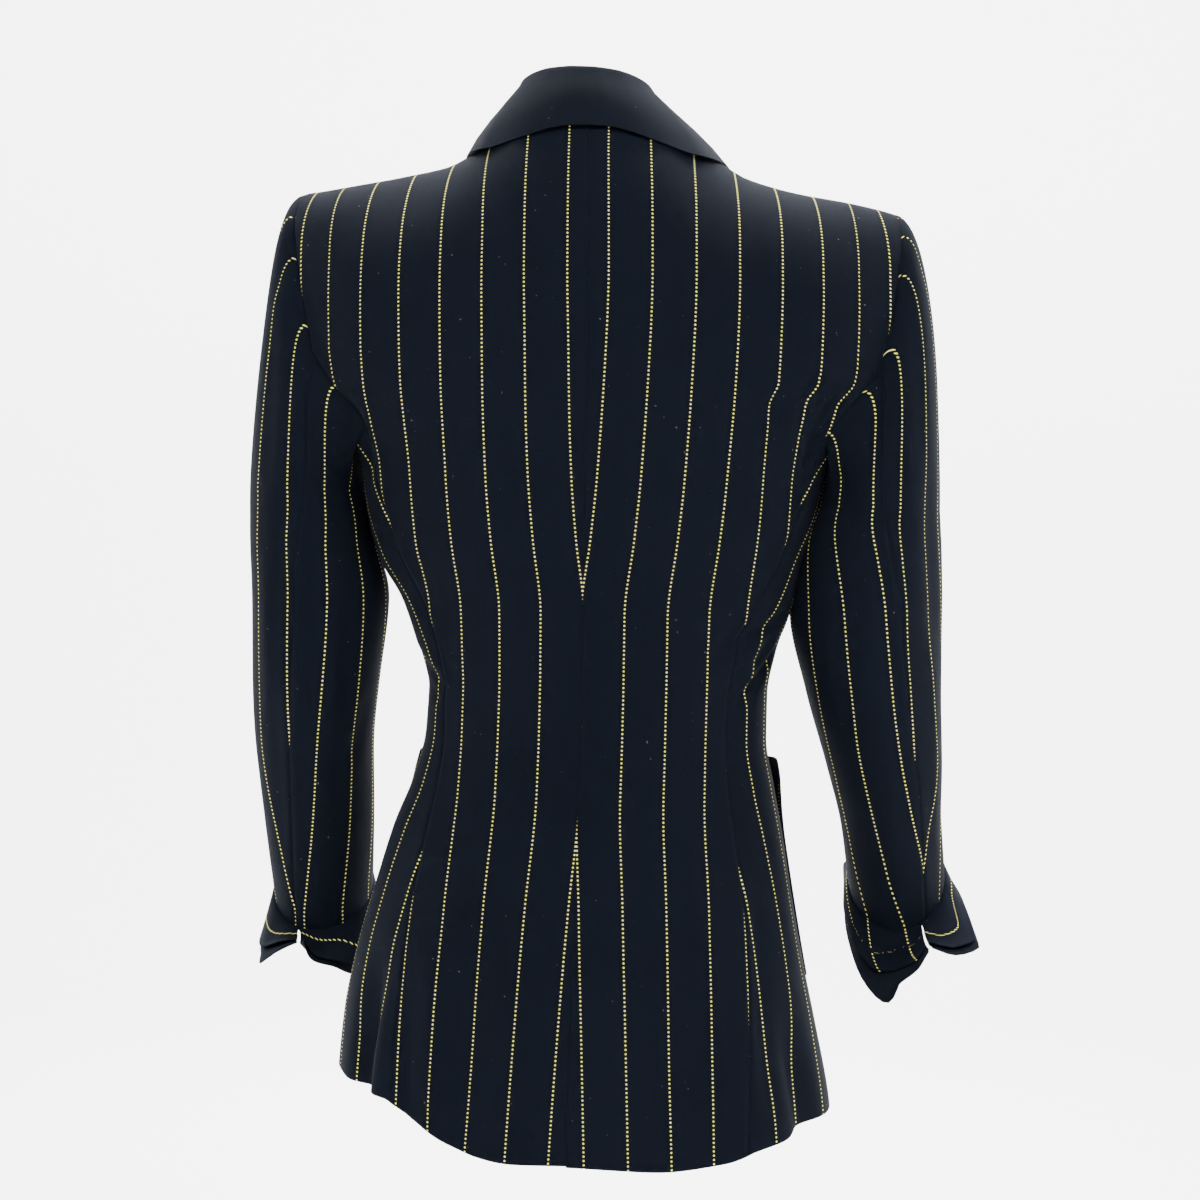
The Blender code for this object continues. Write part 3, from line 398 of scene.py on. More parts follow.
def smooth(rows, key, at):
    """Value of one column at a place in the first, on a smooth curve through the rows that never overshoots."""
    xs = rows[next(iter(rows))]
    ys = rows[key]
    at = np.clip(np.asarray(at, float), xs[0], xs[-1])
    steps = np.diff(xs)
    slopes = np.diff(ys) / steps
    below, above = slopes[:-1], slopes[1:]
    total = np.where(below + above == 0, 1.0, below + above)
    ends = np.concatenate([slopes[:1], np.where(below * above <= 0, 0.0, 2 * below * above / total), slopes[-1:]])
    k = np.clip(np.searchsorted(xs, at, side="right") - 1, 0, len(xs) - 2)
    h = steps[k]
    return hermite((at - xs[k]) / h, ys[k], h * ends[k], ys[k + 1], h * ends[k + 1])


def curve(rows, keys, at):
    """Several columns at once, side by side."""
    return stack(*[smooth(rows, key, at) for key in keys.split()])


def sided(rows, x, at):
    """The left or the right column, by the sign of x."""
    return np.where(x < 0, smooth(rows, "left", at), smooth(rows, "right", at))


def pressed(a, b, lines, start, end, scale=1.0):
    """How deep lines are pressed into the cloth at the places a and b.

    Each line has both ends, its half width and its depth. start and end say how far beyond the line, and over what
    length, it fades out, as shares of it. scale turns a into the measure of b.
    """
    total = np.zeros(np.broadcast(a, b).shape)
    for a0, b0, a1, b1, half, depth in lines:
        run_a, run_b = (a1 - a0) * scale, b1 - b0
        off_a, off_b = (a - a0) * scale, b - b0
        long = np.hypot(run_a, run_b)
        along = (off_a * run_a + off_b * run_b) / long ** 2
        aside = (off_a * run_b - off_b * run_a) / long
        fade = ease((along + start[0]) / start[1]) * ease((end[0] - along) / end[1])
        total = total + depth * np.exp(-(aside / half) ** 2) * fade
    return total


def ring(angle, z):
    """Point of the body at an angle in degrees from the centre back, positive to the right, and a height."""
    angle = (np.asarray(angle, float) + 180) % 360 - 180
    z = np.asarray(z, float)
    turn = np.radians(np.abs(angle))
    reach = sided(BODY, angle, z)
    depth = np.where(np.abs(angle) < 90, smooth(BODY, "back", z), smooth(BODY, "front", z))
    power = 2 / smooth(BODY, "power", z)
    inward = 1 - pressed(angle, z, FOLDS, FOLD_START, FOLD_END, ARC_PER_DEGREE) / depth
    x = np.sign(angle) * reach * np.abs(np.sin(turn)) ** power * inward
    y = -np.sign(np.cos(turn)) * depth * np.abs(np.cos(turn)) ** power * inward
    return stack(x, y, z)


def angle_at(x, z):
    """Angle of the back of the body ring where it has this x."""
    share = np.clip(np.abs(x) / sided(BODY, x, z), 0, 1) ** (smooth(BODY, "power", z) / 2)
    return np.sign(x) * np.degrees(np.arcsin(share))


def front_angle(side, u, z):
    """Angle on a front, from the side front seam at 0 to the front edge at 1, past 180 where the fronts cross."""
    outer = smooth(BODY, "front_angle", z)
    edge = smooth(BODY, "edge", z)
    inner = 180 - np.sign(edge) * angle_at(np.abs(edge), z)
    return side * (outer + (inner - outer) * u)


def row_height(v, angle, top):
    """Height of a row: v runs from 0 at the hem through 1 at the hip to 2 at the piece's top."""
    hem = sided(HEM, angle, np.abs(angle))
    low = hem + (HIP - hem) * np.clip(v, None, 1)
    return np.where(v <= 1, low, HIP + (top - HIP) * np.clip(v - 1, 0, None))


def shoulder_point(x):
    """The shoulder seam, and inside the neck point the curve of the neck."""
    x = np.asarray(x, float)
    turn = np.sqrt(np.clip(1 - (x / NECK_POINT[0]) ** 2, 0, 1))
    y, z = (NECK_POINT[k] + (NAPE[k] - NECK_POINT[k]) * turn for k in (1, 2))
    seam = stack(x, smooth(SHOULDER, "y", x), smooth(SHOULDER, "z", x))
    return np.where((x < NECK_POINT[0])[..., None], stack(x, y, z), seam)


def yoke(side, share, rise, front):
    """Upper body above the blades: share runs from the inner to the armhole edge, rise from the blades to the top."""
    share, rise = np.broadcast_arrays(np.asarray(share, float), np.asarray(rise, float))
    key = "front" if front else "back"
    outer = smooth(ARMHOLE, key, np.clip(rise, 0, 1))
    base_outer = ARMHOLE[key][0]
    base_inner = BODY["edge"][-1] if front else 0.0
    top_inner = NECK_POINT[0] if front else 0.0
    if front:
        base = ring(front_angle(side, 1 - share, BLADE), BLADE)
        base_x = np.abs(base[..., 0])
    else:
        base_x = base_inner + (base_outer - base_inner) * share
        base = ring(angle_at(side * base_x, BLADE), BLADE)
    share = (base_x - base_inner) / (base_outer - base_inner)
    top_x = top_inner + (TIP[0] - top_inner) * share
    top = shoulder_point(top_x)
    end = np.radians(90.0 - NAPE_TURN * np.clip(1 - top_x / NECK_POINT[0], 0, 1) ** 0.6)
    turn = rise * end
    forward = (1 - np.cos(turn)) / (1 - np.cos(end))
    up = np.sin(turn) / np.sin(end)
    straight = base_x + (top_x - base_x) * rise
    bow = outer - (base_outer + (TIP[0] - base_outer) * rise)
    y = base[..., 1] + (top[..., 1] - base[..., 1]) * forward
    return stack(side * (straight + bow * share ** 2), y, BLADE + (top[..., 2] - BLADE) * up)


def back_surface(side):
    def at(u, v):
        z = row_height(np.clip(v, None, 2), side * HEM_BACK_SEAM * u, BLADE)
        low = ring(angle_at(side * u * smooth(BODY, "back_seam", z), z), z)
        high = yoke(side, u, np.clip(v - 2, 0, 1), False)
        return np.where((v <= 2)[..., None], low, high)
    return at


def side_surface(side):
    def at(u, v):
        level = row_height(v, side * (HEM_BACK_SEAM + (HEM_FRONT_SEAM - HEM_BACK_SEAM) * u), SEAM_TOP)
        first = angle_at(side * smooth(BODY, "back_seam", level), level)
        last = side * smooth(BODY, "front_angle", level)
        dip = (UNDERARM - SEAM_TOP) * swell(u) ** 0.8
        return ring(first + (last - first) * u, level + dip * ease(v - 1))
    return at


def front_surface(side):
    def at(u, v):
        z = row_height(np.clip(v, None, 2), side * (HEM_FRONT_SEAM + (180 - HEM_FRONT_SEAM) * u), BLADE)
        lap = ease((LAP["edge_from"] - smooth(BODY, "edge", z)) / LAP["edge_span"])
        lap = lap * ease((u - LAP["share_from"]) / LAP["share_span"]) * (ON_TOP if side > 0 else 0.0)
        low = ring(front_angle(side, u, z), z) + stack(0 * lap, lap, 0 * lap)
        high = yoke(side, 1 - u, np.clip(v - 2, 0, 1), True)
        return np.where((v <= 2)[..., None], low, high)
    return at


def normals(surface, u, v, out):
    """Unit normals by small steps. out says whether these already point outwards."""
    step = 1e-3
    du = surface(u + step, v) - surface(u - step, v)
    dv = surface(u, v + step) - surface(u, v - step)
    return unit(np.cross(du, dv)) * (1 if out else -1)


def unit(vectors):
    return vectors / np.maximum(np.linalg.norm(vectors, axis=-1, keepdims=True), 1e-12)


def stance(points):
    """The wearer's posture, applied alike to every piece."""
    x, y, z = np.moveaxis(np.asarray(points, float), -1, 0)
    tilt = ease((z - HIP) / -HIP) * np.clip(x / TIP[0], -1.2, 1.2)
    return stack(x - NECK_LEAN * ease((z - BLADE) / NECK_LEAN_OVER), y, z - SHOULDER_DROP * tilt)


def armhole(side, share):
    """Closed edge of the armhole: from the shoulder tip down the back, under the arm and up the front."""
    share = np.asarray(share, float) % 1.0
    low_v = 1 + (SEAM_TOP - HIP) / (BLADE - HIP)
    fall = (share - ROUND_BLADE) / (ROUND_BACK - ROUND_BLADE)
    climb = (share - ROUND_SIDE) / (ROUND_CHEST - ROUND_SIDE)
    back_v = np.where(share < ROUND_BLADE, 3 - share / ROUND_BLADE, 2 - fall * (2 - low_v))
    over = 2 + (share - ROUND_CHEST) / (1 - ROUND_CHEST)
    front_v = np.where(share > ROUND_CHEST, over, low_v + climb * (2 - low_v))
    one = np.ones_like(share)
    on_back = back_surface(side)(one, np.clip(back_v, low_v, 3))
    under = side_surface(side)(np.clip((share - ROUND_BACK) / (ROUND_SIDE - ROUND_BACK), 0, 1), 2 * one)
    on_front = front_surface(side)(0 * one, np.clip(front_v, low_v, 3))
    point = np.where((share < ROUND_BACK)[..., None], on_back, under)
    return np.where((share > ROUND_SIDE)[..., None], on_front, point)


def arm_ring(side, arm, angle, z):
    """Point of the sleeve below the head: angle 0 at the back, 90 outside, 180 in front, 270 beside the body."""
    turn = np.radians(angle)
    lean = np.radians(smooth(arm, "lean", z))
    deep = -smooth(arm, "deep", z) * np.cos(turn)
    x = smooth(arm, "x", z) + side * (smooth(arm, "across", z) * np.sin(turn))
    return stack(x, smooth(arm, "y", z) + deep * np.cos(lean), z + deep * np.sin(lean))


def sleeve_point(side, arm, angle, w):
    """Point of the sleeve: w is 0 at the armhole, 1 where the head ends and 2 at the cuff."""
    angle, w = np.broadcast_arrays(np.asarray(angle, float), np.asarray(w, float))
    start = armhole(side, smooth(ROUND, "share", ((90 - angle) / 360) % 1.0))
    start_gap = SLEEVE_GAP + UNDERARM_GAP * np.clip(-np.sin(np.radians(angle - UNDERARM_ANGLE)), 0, 1)
    start = start + start_gap[..., None] * np.array([side, 0, 0])
    top_z = arm["z"][-1]
    end = arm_ring(side, arm, angle, top_z + 0 * w)
    fall = (start[..., 2] - end[..., 2])[..., None]
    out = stack(side * HEAD_OUT, -HEAD_BACK * np.cos(np.radians(angle)), HEAD_UP) * fall
    down = np.array([0, 0, -HEAD_DOWN]) * fall
    head = hermite(np.clip(w, -0.01, 1)[..., None], start, out, end, down)
    z = top_z + (arm["z"][0] - top_z) * np.clip(w - 1, 0, None)
    return np.where((w <= 1)[..., None], head, arm_ring(side, arm, angle, z))


def sleeve_angle(name, under, u, v):
    """Angle round the arm at a place on the upper or the under sleeve."""
    back = smooth(SLEEVE_SEAMS, "back_" + name, v)
    front = smooth(SLEEVE_SEAMS, "front_" + name, v)
    first, last = (front, back + 360) if under else (back, front)
    return first + (last - first) * u


def sleeve_surface(side, arm, name, under):
    return lambda u, v: sleeve_point(side, arm, sleeve_angle(name, under, u, v), v)


def cuff_surface(side, arm, edge, facing=False):
    """From the sleeve's end outwards to the free edge, sagging between; the facing runs on past that edge."""
    end_z = arm["z"][0]
    centre = np.array([arm["x"][0], arm["y"][0], end_z])
    first, last = edge["angle"][0], edge["angle"][-1]
    middle = (first + last) / 2
    close = 360 / (last - first)

    def at(u, v):
        u, v = np.broadcast_arrays(u, v)
        angle = first + (last - first) * u
        start = arm_ring(side, arm, middle + (angle - middle) * close, end_z + 0 * u)
        spoke = unit(start - centre)
        start = start + spoke * CUFF_STEP
        free = curve(edge, "across forward up", angle) * np.array([side, 1, 1]) + centre
        if facing:
            v = v * (1 + smooth(edge, "past", angle) / np.linalg.norm(free - start, axis=-1))
        sag = spoke * CUFF_SAG_OUT + np.array([0, 0, -CUFF_SAG_DOWN])
        belly = swell(v)[..., None] * CUFF_BELLY * sag
        return start + (free - start) * v[..., None] + belly
    return at


def collar_points(side_angles):
    """Grid of the collar: along it by signed angle, across it from the foot of the stand to the free edge."""
    rows = []
    up = np.array([0, 0, 1.0])
    for signed in side_angles:
        flip = np.array([1.0 if signed >= 0 else -1.0, 1, 1])
        angle = abs(signed)
        fold = curve(COLLAR, "fold_x fold_y fold_z", angle) * flip + np.array([COLLAR_SWAY, 0, 0])
        edge = curve(COLLAR, "edge_x edge_y edge_z", angle) * flip
        out = (edge - fold) * np.array([1, 1, 0])
        out = out / np.linalg.norm(out)
        if angle <= COLLAR_SHOULDER:
            turn = math.radians(angle / COLLAR_SHOULDER * 90)
            foot = shoulder_point(NECK_POINT[0] * math.sin(turn) * JUST_INSIDE)
        else:
            past = (angle - COLLAR_SHOULDER) / (COLLAR_END - COLLAR_SHOULDER)
            foot = yoke(1.0, 0.0, 1 - COLLAR_DIP * past, True)
        foot = foot * flip + up * COLLAR_RISE - out * (COLLAR_WALL + COLLAR_INSET)
        rise = fold - out * COLLAR_ROLL - foot
        row = [foot] + [foot + rise * share - out * back for share, back in COLLAR_STAND]
        for turn in COLLAR_ROLL_TURNS:
            row.append(fold + COLLAR_ROLL * (out * math.cos(math.radians(turn)) + up * math.sin(math.radians(turn))))
        start = row[-1]
        for share in (0.25, 0.5, 0.75, 1.0):
            bow = math.sin(math.pi * share) * COLLAR_BOW
            row.append(start + (edge - start) * share + (out * 0.8 + up * 0.5) * bow)
        rows.append(row)
    return np.array(rows)


def lapel_surface(side):
    """The front turned back on itself: u runs from the roll line to the free edge, v from the break to the gorge."""
    front = front_surface(side)

    def at(u, v):
        u, v = np.broadcast_arrays(np.asarray(u, float), np.asarray(v, float))
        up = LAPEL["up"][0] + (LAPEL["up"][-1] - LAPEL["up"][0]) * v
        width = np.linalg.norm(front(0 * u, up) - front(0 * u + 1, up), axis=-1)
        out = smooth(LAPEL, "reach", up) * u - LAPEL_ROLL * (1 - u)
        up = up - smooth(LAPEL, "droop", up) * np.clip(u, 0, None) ** 1.5
        place = np.minimum(1 - out / width, 1.0)
        past = np.clip(LAPEL_ROLL - np.maximum(out + LAPEL_ROLL, 0), 0, None)
        lift = LAPEL_LIFT + LAPEL_BOW * swell(u)
        point = front(place, up) + normals(front, place, up, side > 0) * lift[..., None]
        return point - past[..., None] * np.array([side * 0.8, 0, 0])
    return at


def pocket_surface(side):
    """A patch over the front, drawn up from its lower edge and gaping along its top."""
    def at(u, v):
        u, v = np.broadcast_arrays(np.asarray(u, float), np.asarray(v, float))
        angle = side * (POCKET["side"] + (POCKET["centre"] - POCKET["side"]) * u)
        swing = swell(u)
        lift = LIFT + WALL + POCKET["belly"] * swing ** 0.7 * swell(v) ** 0.7
        open_to = POCKET["ends"] + (1 - POCKET["ends"]) * swing
        gape = POCKET["gape"] * open_to * between(v, POCKET["gape_from"], 1) ** 1.5
        base = ring(angle, POCKET["bottom"] + (POCKET["top"] - POCKET["bottom"]) * v)
        return base + unit(base * np.array([1, 1, 0])) * (lift + gape)[..., None]
    return at


def arcs(points, axis):
    """Length along the cloth from the first row or column, for each point of a grid."""
    steps = np.linalg.norm(np.diff(points, axis=axis), axis=-1)
    start = np.zeros_like(np.take(steps, [0], axis=axis))
    return np.concatenate([start, np.cumsum(steps, axis=axis)], axis=axis)


def dense(length, step=4.0, near=(0.35, 0.9, 1.7, 3.0)):
    """Places from 0 to 1 at even steps, with closer ones beside both ends."""
    count = max(4, int(round(length / step)))
    even = np.linspace(0, 1, count + 1)[1:-1]
    close = np.array(near) / length
    even = even[(even > close[-1] * 1.3) & (even < 1 - close[-1] * 1.3)]
    return np.concatenate([[0], close, even, 1 - close[::-1], [1]])


def rows_up(counts, first=HEM_ROWS, last=TOP_ROWS):
    """Rows of a panel: so many to each whole step of v, with closer ones at the first and last edges."""
    even = np.concatenate([np.linspace(k, k + 1, count)[1:] for k, count in enumerate(counts)])[:-1]
    return np.concatenate([first, even, len(counts) - np.array(last)])


def mesh_object(name, points, faces, made_of, sharp=None):
    mesh = bpy.data.meshes.new(name)
    mesh.from_pydata(points, [], faces)
    mesh.materials.append(made_of)
    mesh.shade_smooth()
    if sharp:
        mesh.set_sharp_from_angle(angle=math.radians(sharp))
    return add_object(name, mesh)


def add_object(name, data):
    made = bpy.data.objects.new(name, data)
    bpy.context.scene.collection.objects.link(made)
    return made


def shell(name, outer, inner, flat, cloth):
    """Closed thin body between two grids, with the place on the flat cloth kept as its UV map."""
    rows, columns = outer.shape[:2]
    points = np.concatenate([outer.reshape(-1, 3), inner.reshape(-1, 3)])
    uv = np.concatenate([flat.reshape(-1, 2), flat.reshape(-1, 2)]) * MM
    shift = rows * columns
    place = np.arange(shift).reshape(rows, columns)
    a = place[:-1, :-1].ravel()
    quads = stack(a, a + 1, a + 1 + columns, a + columns)
    rim = np.concatenate([place[0], place[1:, -1], place[-1, -2::-1], place[-2:0:-1, 0]])
    after = np.roll(rim, -1)
    sides = stack(after, rim, shift + rim, shift + after)
    faces = np.concatenate([quads, (quads + shift)[:, ::-1], sides])
    p = points[faces]
    volume = np.einsum("ij,ij->i", p[:, 0], np.cross(p[:, 1], p[:, 2]))
    volume += np.einsum("ij,ij->i", p[:, 0], np.cross(p[:, 2], p[:, 3]))
    if volume.sum() < 0:
        faces = faces[:, ::-1]
    made = mesh_object(name, (stance(points) * MM).tolist(), faces.tolist(), cloth, CLOTH_SHARP)
    layer = made.data.uv_layers.new(name="grain")
    layer.data.foreach_set("uv", uv[faces.ravel()].astype(np.float32).ravel())
    return made


def valley(distance, seam):
    """How far the cloth sinks at a distance from an edge: a seam's valley, or a free edge's round."""
    if seam:
        return SEAM_SINK * np.exp(-(distance / SEAM_HALF) ** 2)
    return EDGE_ROUND * np.clip(1 - distance / EDGE_ROUND_OVER, 0, 1) ** 2


def in_picture(points):
    """Where a point of the blazer shows in the picture, in its pixels."""
    x, y, z = np.moveaxis(stance(points), -1, 0)
    nearer = 1000 * CAMERA_AWAY / (1000 * CAMERA_AWAY + y)
    level, middle = 1000 * CAMERA_TARGET[0], 1000 * CAMERA_TARGET[2]
    a = ((x + y * math.tan(math.radians(CAMERA_YAW)) - level) * nearer + level) / PICTURE_SCALE
    b = PICTURE_TOP - ((z - middle) * nearer + middle) / PICTURE_SCALE
    turn = math.radians(CAMERA_ROLL)
    across = a * math.cos(turn) - b * math.sin(turn)
    down = a * math.sin(turn) + b * math.cos(turn)
    return across + PLANE_CENTRE[0], down + PLANE_CENTRE[1]


def creased(points, n):
    """How deep the creases press in: those of the picture where the cloth faces it, and slow waves everywhere."""
    px, py = in_picture(points)
    facing = ease((-n[..., 1] - 0.05) / 0.4)
    total = pressed(px, py, CREASES, CREASE_START, CREASE_END) * CREASE_DEPTH
    x, y, z = np.moveaxis(points, -1, 0)
    wave = np.sin(x / 17 + y / 23 + 1.3 * np.sin(z / 61)) + np.sin(y / 13 - x / 29 + 1.7 * np.sin(z / 83 + 1.0))
    return total * facing + WAVE * wave * 0.5


def cloth_panel(kind, end, surface, u, v, out, wools, grain, seams=(), thick=WALL, lift=0.0):
    """One piece of cloth. seams names the sewn edges among left, right, low and high; the others are free."""
    uu, vv = np.meshgrid(u, v)
    points = surface(uu, vv)
    n = normals(surface, uu, vv, out)
    across = arcs(points, 1)
    along = arcs(points, 0)
    edges = dict(left=across, right=across[:, -1:] - across, low=along, high=along[-1:] - along)
    sink = np.maximum.reduce([valley(distance, name in seams) for name, distance in edges.items()])
    calm = ease(edges["left"] / CALM_EDGE) * ease(edges["right"] / CALM_EDGE)
    press = creased(points, n) * calm * (0 if kind in PLAIN else 1)
    outer = points + n * (lift - sink - press)[..., None]
    inner = points + n * (lift - thick + 0.4 * sink - press)[..., None]
    flat = stack(*grain(uu, vv, points, across, along))
    node = kind + "_" + end
    made = shell("cloth_" + node, outer, inner, flat, wools[kind in PLAIN])
    seat(made, node, flat_size(points))


def flat_size(points):
    """Greatest width and length of the piece laid flat, and its flat area, in metres."""
    up, right = points[1:, :-1], points[:-1, 1:]
    halves = [np.cross(up - corner, right - corner) for corner in (points[:-1, :-1], points[1:, 1:])]
    area = sum(np.linalg.norm(half, axis=-1).sum() for half in halves) / 2
    return arcs(points, 1)[:, -1].max() * MM, arcs(points, 0)[-1].max() * MM, area * MM * MM


def seat(made, node, size):
    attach(made, "root")
    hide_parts(node)


class Nodes:
    """A new material and short calls for building its node tree."""

    def __init__(self, name, **sockets):
        self.made = bpy.data.materials.new(name)
        self.made.use_nodes = True
        self.tree = self.made.node_tree
        self.shader = self.tree.nodes["Principled BSDF"]
        for key, value in sockets.items():
            self.shader.inputs[key.replace("_", " ")].default_value = value

    def add(self, kind, **settings):
        node = self.tree.nodes.new(kind)
        for key, value in settings.items():
            setattr(node, key, value)
        return node

    def join(self, source, target):
        self.tree.links.new(source, target)

    def fill(self, socket, value):
        if isinstance(value, (int, float, tuple)):
            socket.default_value = value
        else:
            self.join(value, socket)

    def math(self, operation, a, b=None, clamp=False):
        node = self.add("ShaderNodeMath", operation=operation, use_clamp=clamp)
        for k, value in enumerate((a, b)):
            if value is not None:
                self.fill(node.inputs[k], value)
        return node.outputs[0]

    def times(self, a, b, clamp=False):
        return self.math("MULTIPLY", a, b, clamp)

    def plus(self, a, b):
        return self.math("ADD", a, b)

    def mix(self, factor, a, b):
        node = self.add("ShaderNodeMix", data_type="RGBA")
        for key, value in (("Factor", factor), ("A", a), ("B", b)):
            self.fill(node.inputs[key], value)
        return node.outputs["Result"]

    def noise(self, vector, scale, detail=2.0, rough=0.5):
        node = self.add("ShaderNodeTexNoise")
        for key, value in (("Vector", vector), ("Scale", scale), ("Detail", detail), ("Roughness", rough)):
            self.fill(node.inputs[key], value)
        return node.outputs["Fac"]


def wool(name, base, striped):
    t = Nodes(name, Sheen_Weight=0.012, Sheen_Roughness=0.55, Sheen_Tint=(0.55, 0.62, 0.8, 1), Specular_IOR_Level=0.03)
    grain = t.add("ShaderNodeUVMap", uv_map="grain").outputs[0]
    split = t.add("ShaderNodeSeparateXYZ")
    t.join(grain, split.inputs[0])
    s = t.times(split.outputs[0], 1000.0)
    d = t.times(split.outputs[1], 1000.0)
    place = t.add("ShaderNodeTexCoord").outputs["Object"]
    # Fine diagonal ribs of the twill and the uneven yarn
    rib = t.math("SINE", t.times(t.plus(s, d), 2 * math.pi / TWILL_RIB))
    yarn = t.noise(grain, 900.0, 3.0, 0.6)
    cloud = t.noise(place, 9.0, 3.0, 0.55)
    tone = t.plus(t.plus(t.times(yarn, 0.55), t.times(cloud, 0.45)), t.times(rib, 0.05))
    dark, light = (tuple(c * shade for c in base) + (1.0,) for shade in TONES)
    colour = t.mix(tone, dark, light)
    height = t.plus(t.times(yarn, 0.7), t.times(rib, 0.3))
    if striped:
        side = t.math("PINGPONG", s, STRIPE_PITCH / 2)
        step = t.math("PINGPONG", d, DOT_PITCH / 2)
        far = t.math("SQRT", t.plus(t.times(side, side), t.times(step, step)))
        dot = t.math("DIVIDE", t.math("SUBTRACT", DOT_RADIUS + 0.1, far), 0.2, clamp=True)
        wear = t.plus(0.8, t.times(t.noise(grain, 260.0), 0.4))
        colour = t.mix(t.times(dot, wear, True), colour, STRIPE_COLOUR)
        height = t.plus(height, t.times(dot, 0.8))
    # Pale specks of lint
    lint = t.times(t.math("SUBTRACT", t.noise(place, 420.0, 1.0, 0.3), 0.8), 14.0, True)
    colour = t.mix(t.times(lint, 0.22), colour, (0.5, 0.5, 0.5, 1.0))
    t.join(colour, t.shader.inputs["Base Color"])
    t.join(t.plus(0.76, t.times(yarn, 0.12)), t.shader.inputs["Roughness"])
    bump = t.add("ShaderNodeBump")
    bump.inputs["Strength"].default_value = 0.35
    bump.inputs["Distance"].default_value = 0.00025
    t.join(height, bump.inputs["Height"])
    t.join(bump.outputs[0], t.shader.inputs["Normal"])
    return t.made


def from_hip(vv, along):
    """Length along the cloth from the row where v is 1: the hip of the body, or the end of a sleeve's head."""
    return along - along[np.argmin(np.abs(vv[:, 0] - 1))]


def cut_grain(side):
    """Back panels: stripes keep their distance from the centre back, less what the seam takes."""
    def grain(uu, vv, points, across, along):
        blade = np.argmin(np.abs(vv[:, 0] - 2))
        xs = np.abs(points[blade, :, 0])
        reach = np.abs(points[..., 0])
        high = np.interp(reach, xs, across[blade]) + np.maximum(reach - xs[-1], 0)
        s = np.where(vv <= 2, across, high)
        s = s - STRIPE_PITCH / 2 - smooth(WAIST_TAKE, "take", points[..., 2])
        s = s + YOKE_LEAN["right" if side > 0 else "left"] * ease((vv - 2.4) / 0.6) * uu
        if side > 0:
            px, py = in_picture(points)
            pull = between(px, *ARM_PULL["x"]) * between(py, *ARM_PULL["top"]) * between(py, *ARM_PULL["foot"])
            s = s + ARM_PULL["shift"] * pull
        return s, from_hip(vv, along)
    return grain


def side_grain(uu, vv, points, across, along):
    """Side panels: stripes run parallel to the middle of the piece."""
    return across - across[:, -1:] / 2 - SIDE_STRIPE, from_hip(vv, along)


def front_grain(side):
    """Fronts: stripes run parallel to the straight front edge."""
    def grain(uu, vv, points, across, along):
        blade = np.argmin(np.abs(vv[:, 0] - 2))
        s = across[:, -1:] - across + smooth(BODY, "edge", points[:, -1:, 2])
        xs = side * points[blade, ::-1, 0]
        reach = side * points[..., 0]
        high = np.interp(reach, xs, s[blade, ::-1]) + np.maximum(reach - xs[-1], 0)
        return np.where(vv <= 2, s, high) - FRONT_STRIPE, from_hip(vv, along)
    return grain


def plain_grain(uu, vv, points, across, along):
    return across, along


def pocket_grain(uu, vv, points, across, along):
    return across - POCKET_STRIPE, along


def cuff_grain(uu, vv, points, across, along):
    """Cuffs: the stripes run round, at a distance from the free edge."""
    return along[-1:] - along - CUFF_STRIPE, across - across[:, across.shape[1] // 2][:, None]


def slit_grain(uu, vv, points, across, along):
    """Right cuff: beside the slit the sleeve's stripes run on down, and from there on the stripes run round."""
    s, d = cuff_grain(uu, vv, points, across, along)
    band = STRIPE_PITCH * np.floor(s / STRIPE_PITCH)
    aside = across[:, -1:] - across
    last = SLIT_STRIPE + 1.5 * STRIPE_PITCH
    half = STRIPE_PITCH / 2
    s = band + half + (s - band - half) * ease((aside - last) / SLIT_BLEND)
    s = np.where(aside < last, band + aside - SLIT_STRIPE - STRIPE_PITCH, s)
    return s, np.where(aside < last, along, d)


def sleeve_grain(side, arm, name, under):
    gaps = STRIPES[("under_" if under else "upper_") + name]
    top_z = arm["z"][-1]
    angles = np.linspace(-140, 420, 561)
    ring_arc = arcs(arm_ring(side, arm, angles, top_z), 0)
    # Below the head the dots of all stripes lie level with each other round the arm
    level = np.linspace(1, 2.02, 300)
    level_z = top_z + (arm["z"][0] - top_z) * (level - 1)
    arm_length = arcs(stack(smooth(arm, "x", level_z), smooth(arm, "y", level_z), level_z), 0)

    def grain(uu, vv, points, across, along):
        angle = sleeve_angle(name, under, uu, vv)
        from_seam = across
        if under:
            angle = angle - 360
            from_seam = across[:, -1:] - across
        seam_z = points[:, -1 if under else 0, 2][:, None] + 0 * uu
        low = from_seam - smooth(gaps, "gap", seam_z)
        if not under:
            low = np.where(low > 0, low * UPPER_SPREAD[name], low)
        # In the head the grain follows the arm, not the armhole
        twist = smooth(HEAD_TWIST, name, angle) * (1 - np.clip(vv, 0, 1)) ** 1.5
        turned = np.interp(angle + twist, angles, ring_arc)
        row = np.argmin(np.abs(vv[:, 0] - 1))
        order = np.argsort(angle[row])
        arc_row = np.interp(angle[row], angles, ring_arc)[order]
        beyond = np.maximum(turned - arc_row[-1], 0) + np.minimum(turned - arc_row[0], 0)
        high = np.interp(turned, arc_row, low[row][order]) + (-1.0 if under else 1.0) * beyond
        d = np.where(vv <= 1, from_hip(vv, along), np.interp(vv, level, arm_length))
        return np.where(vv <= 1, high, low), d
    return grain


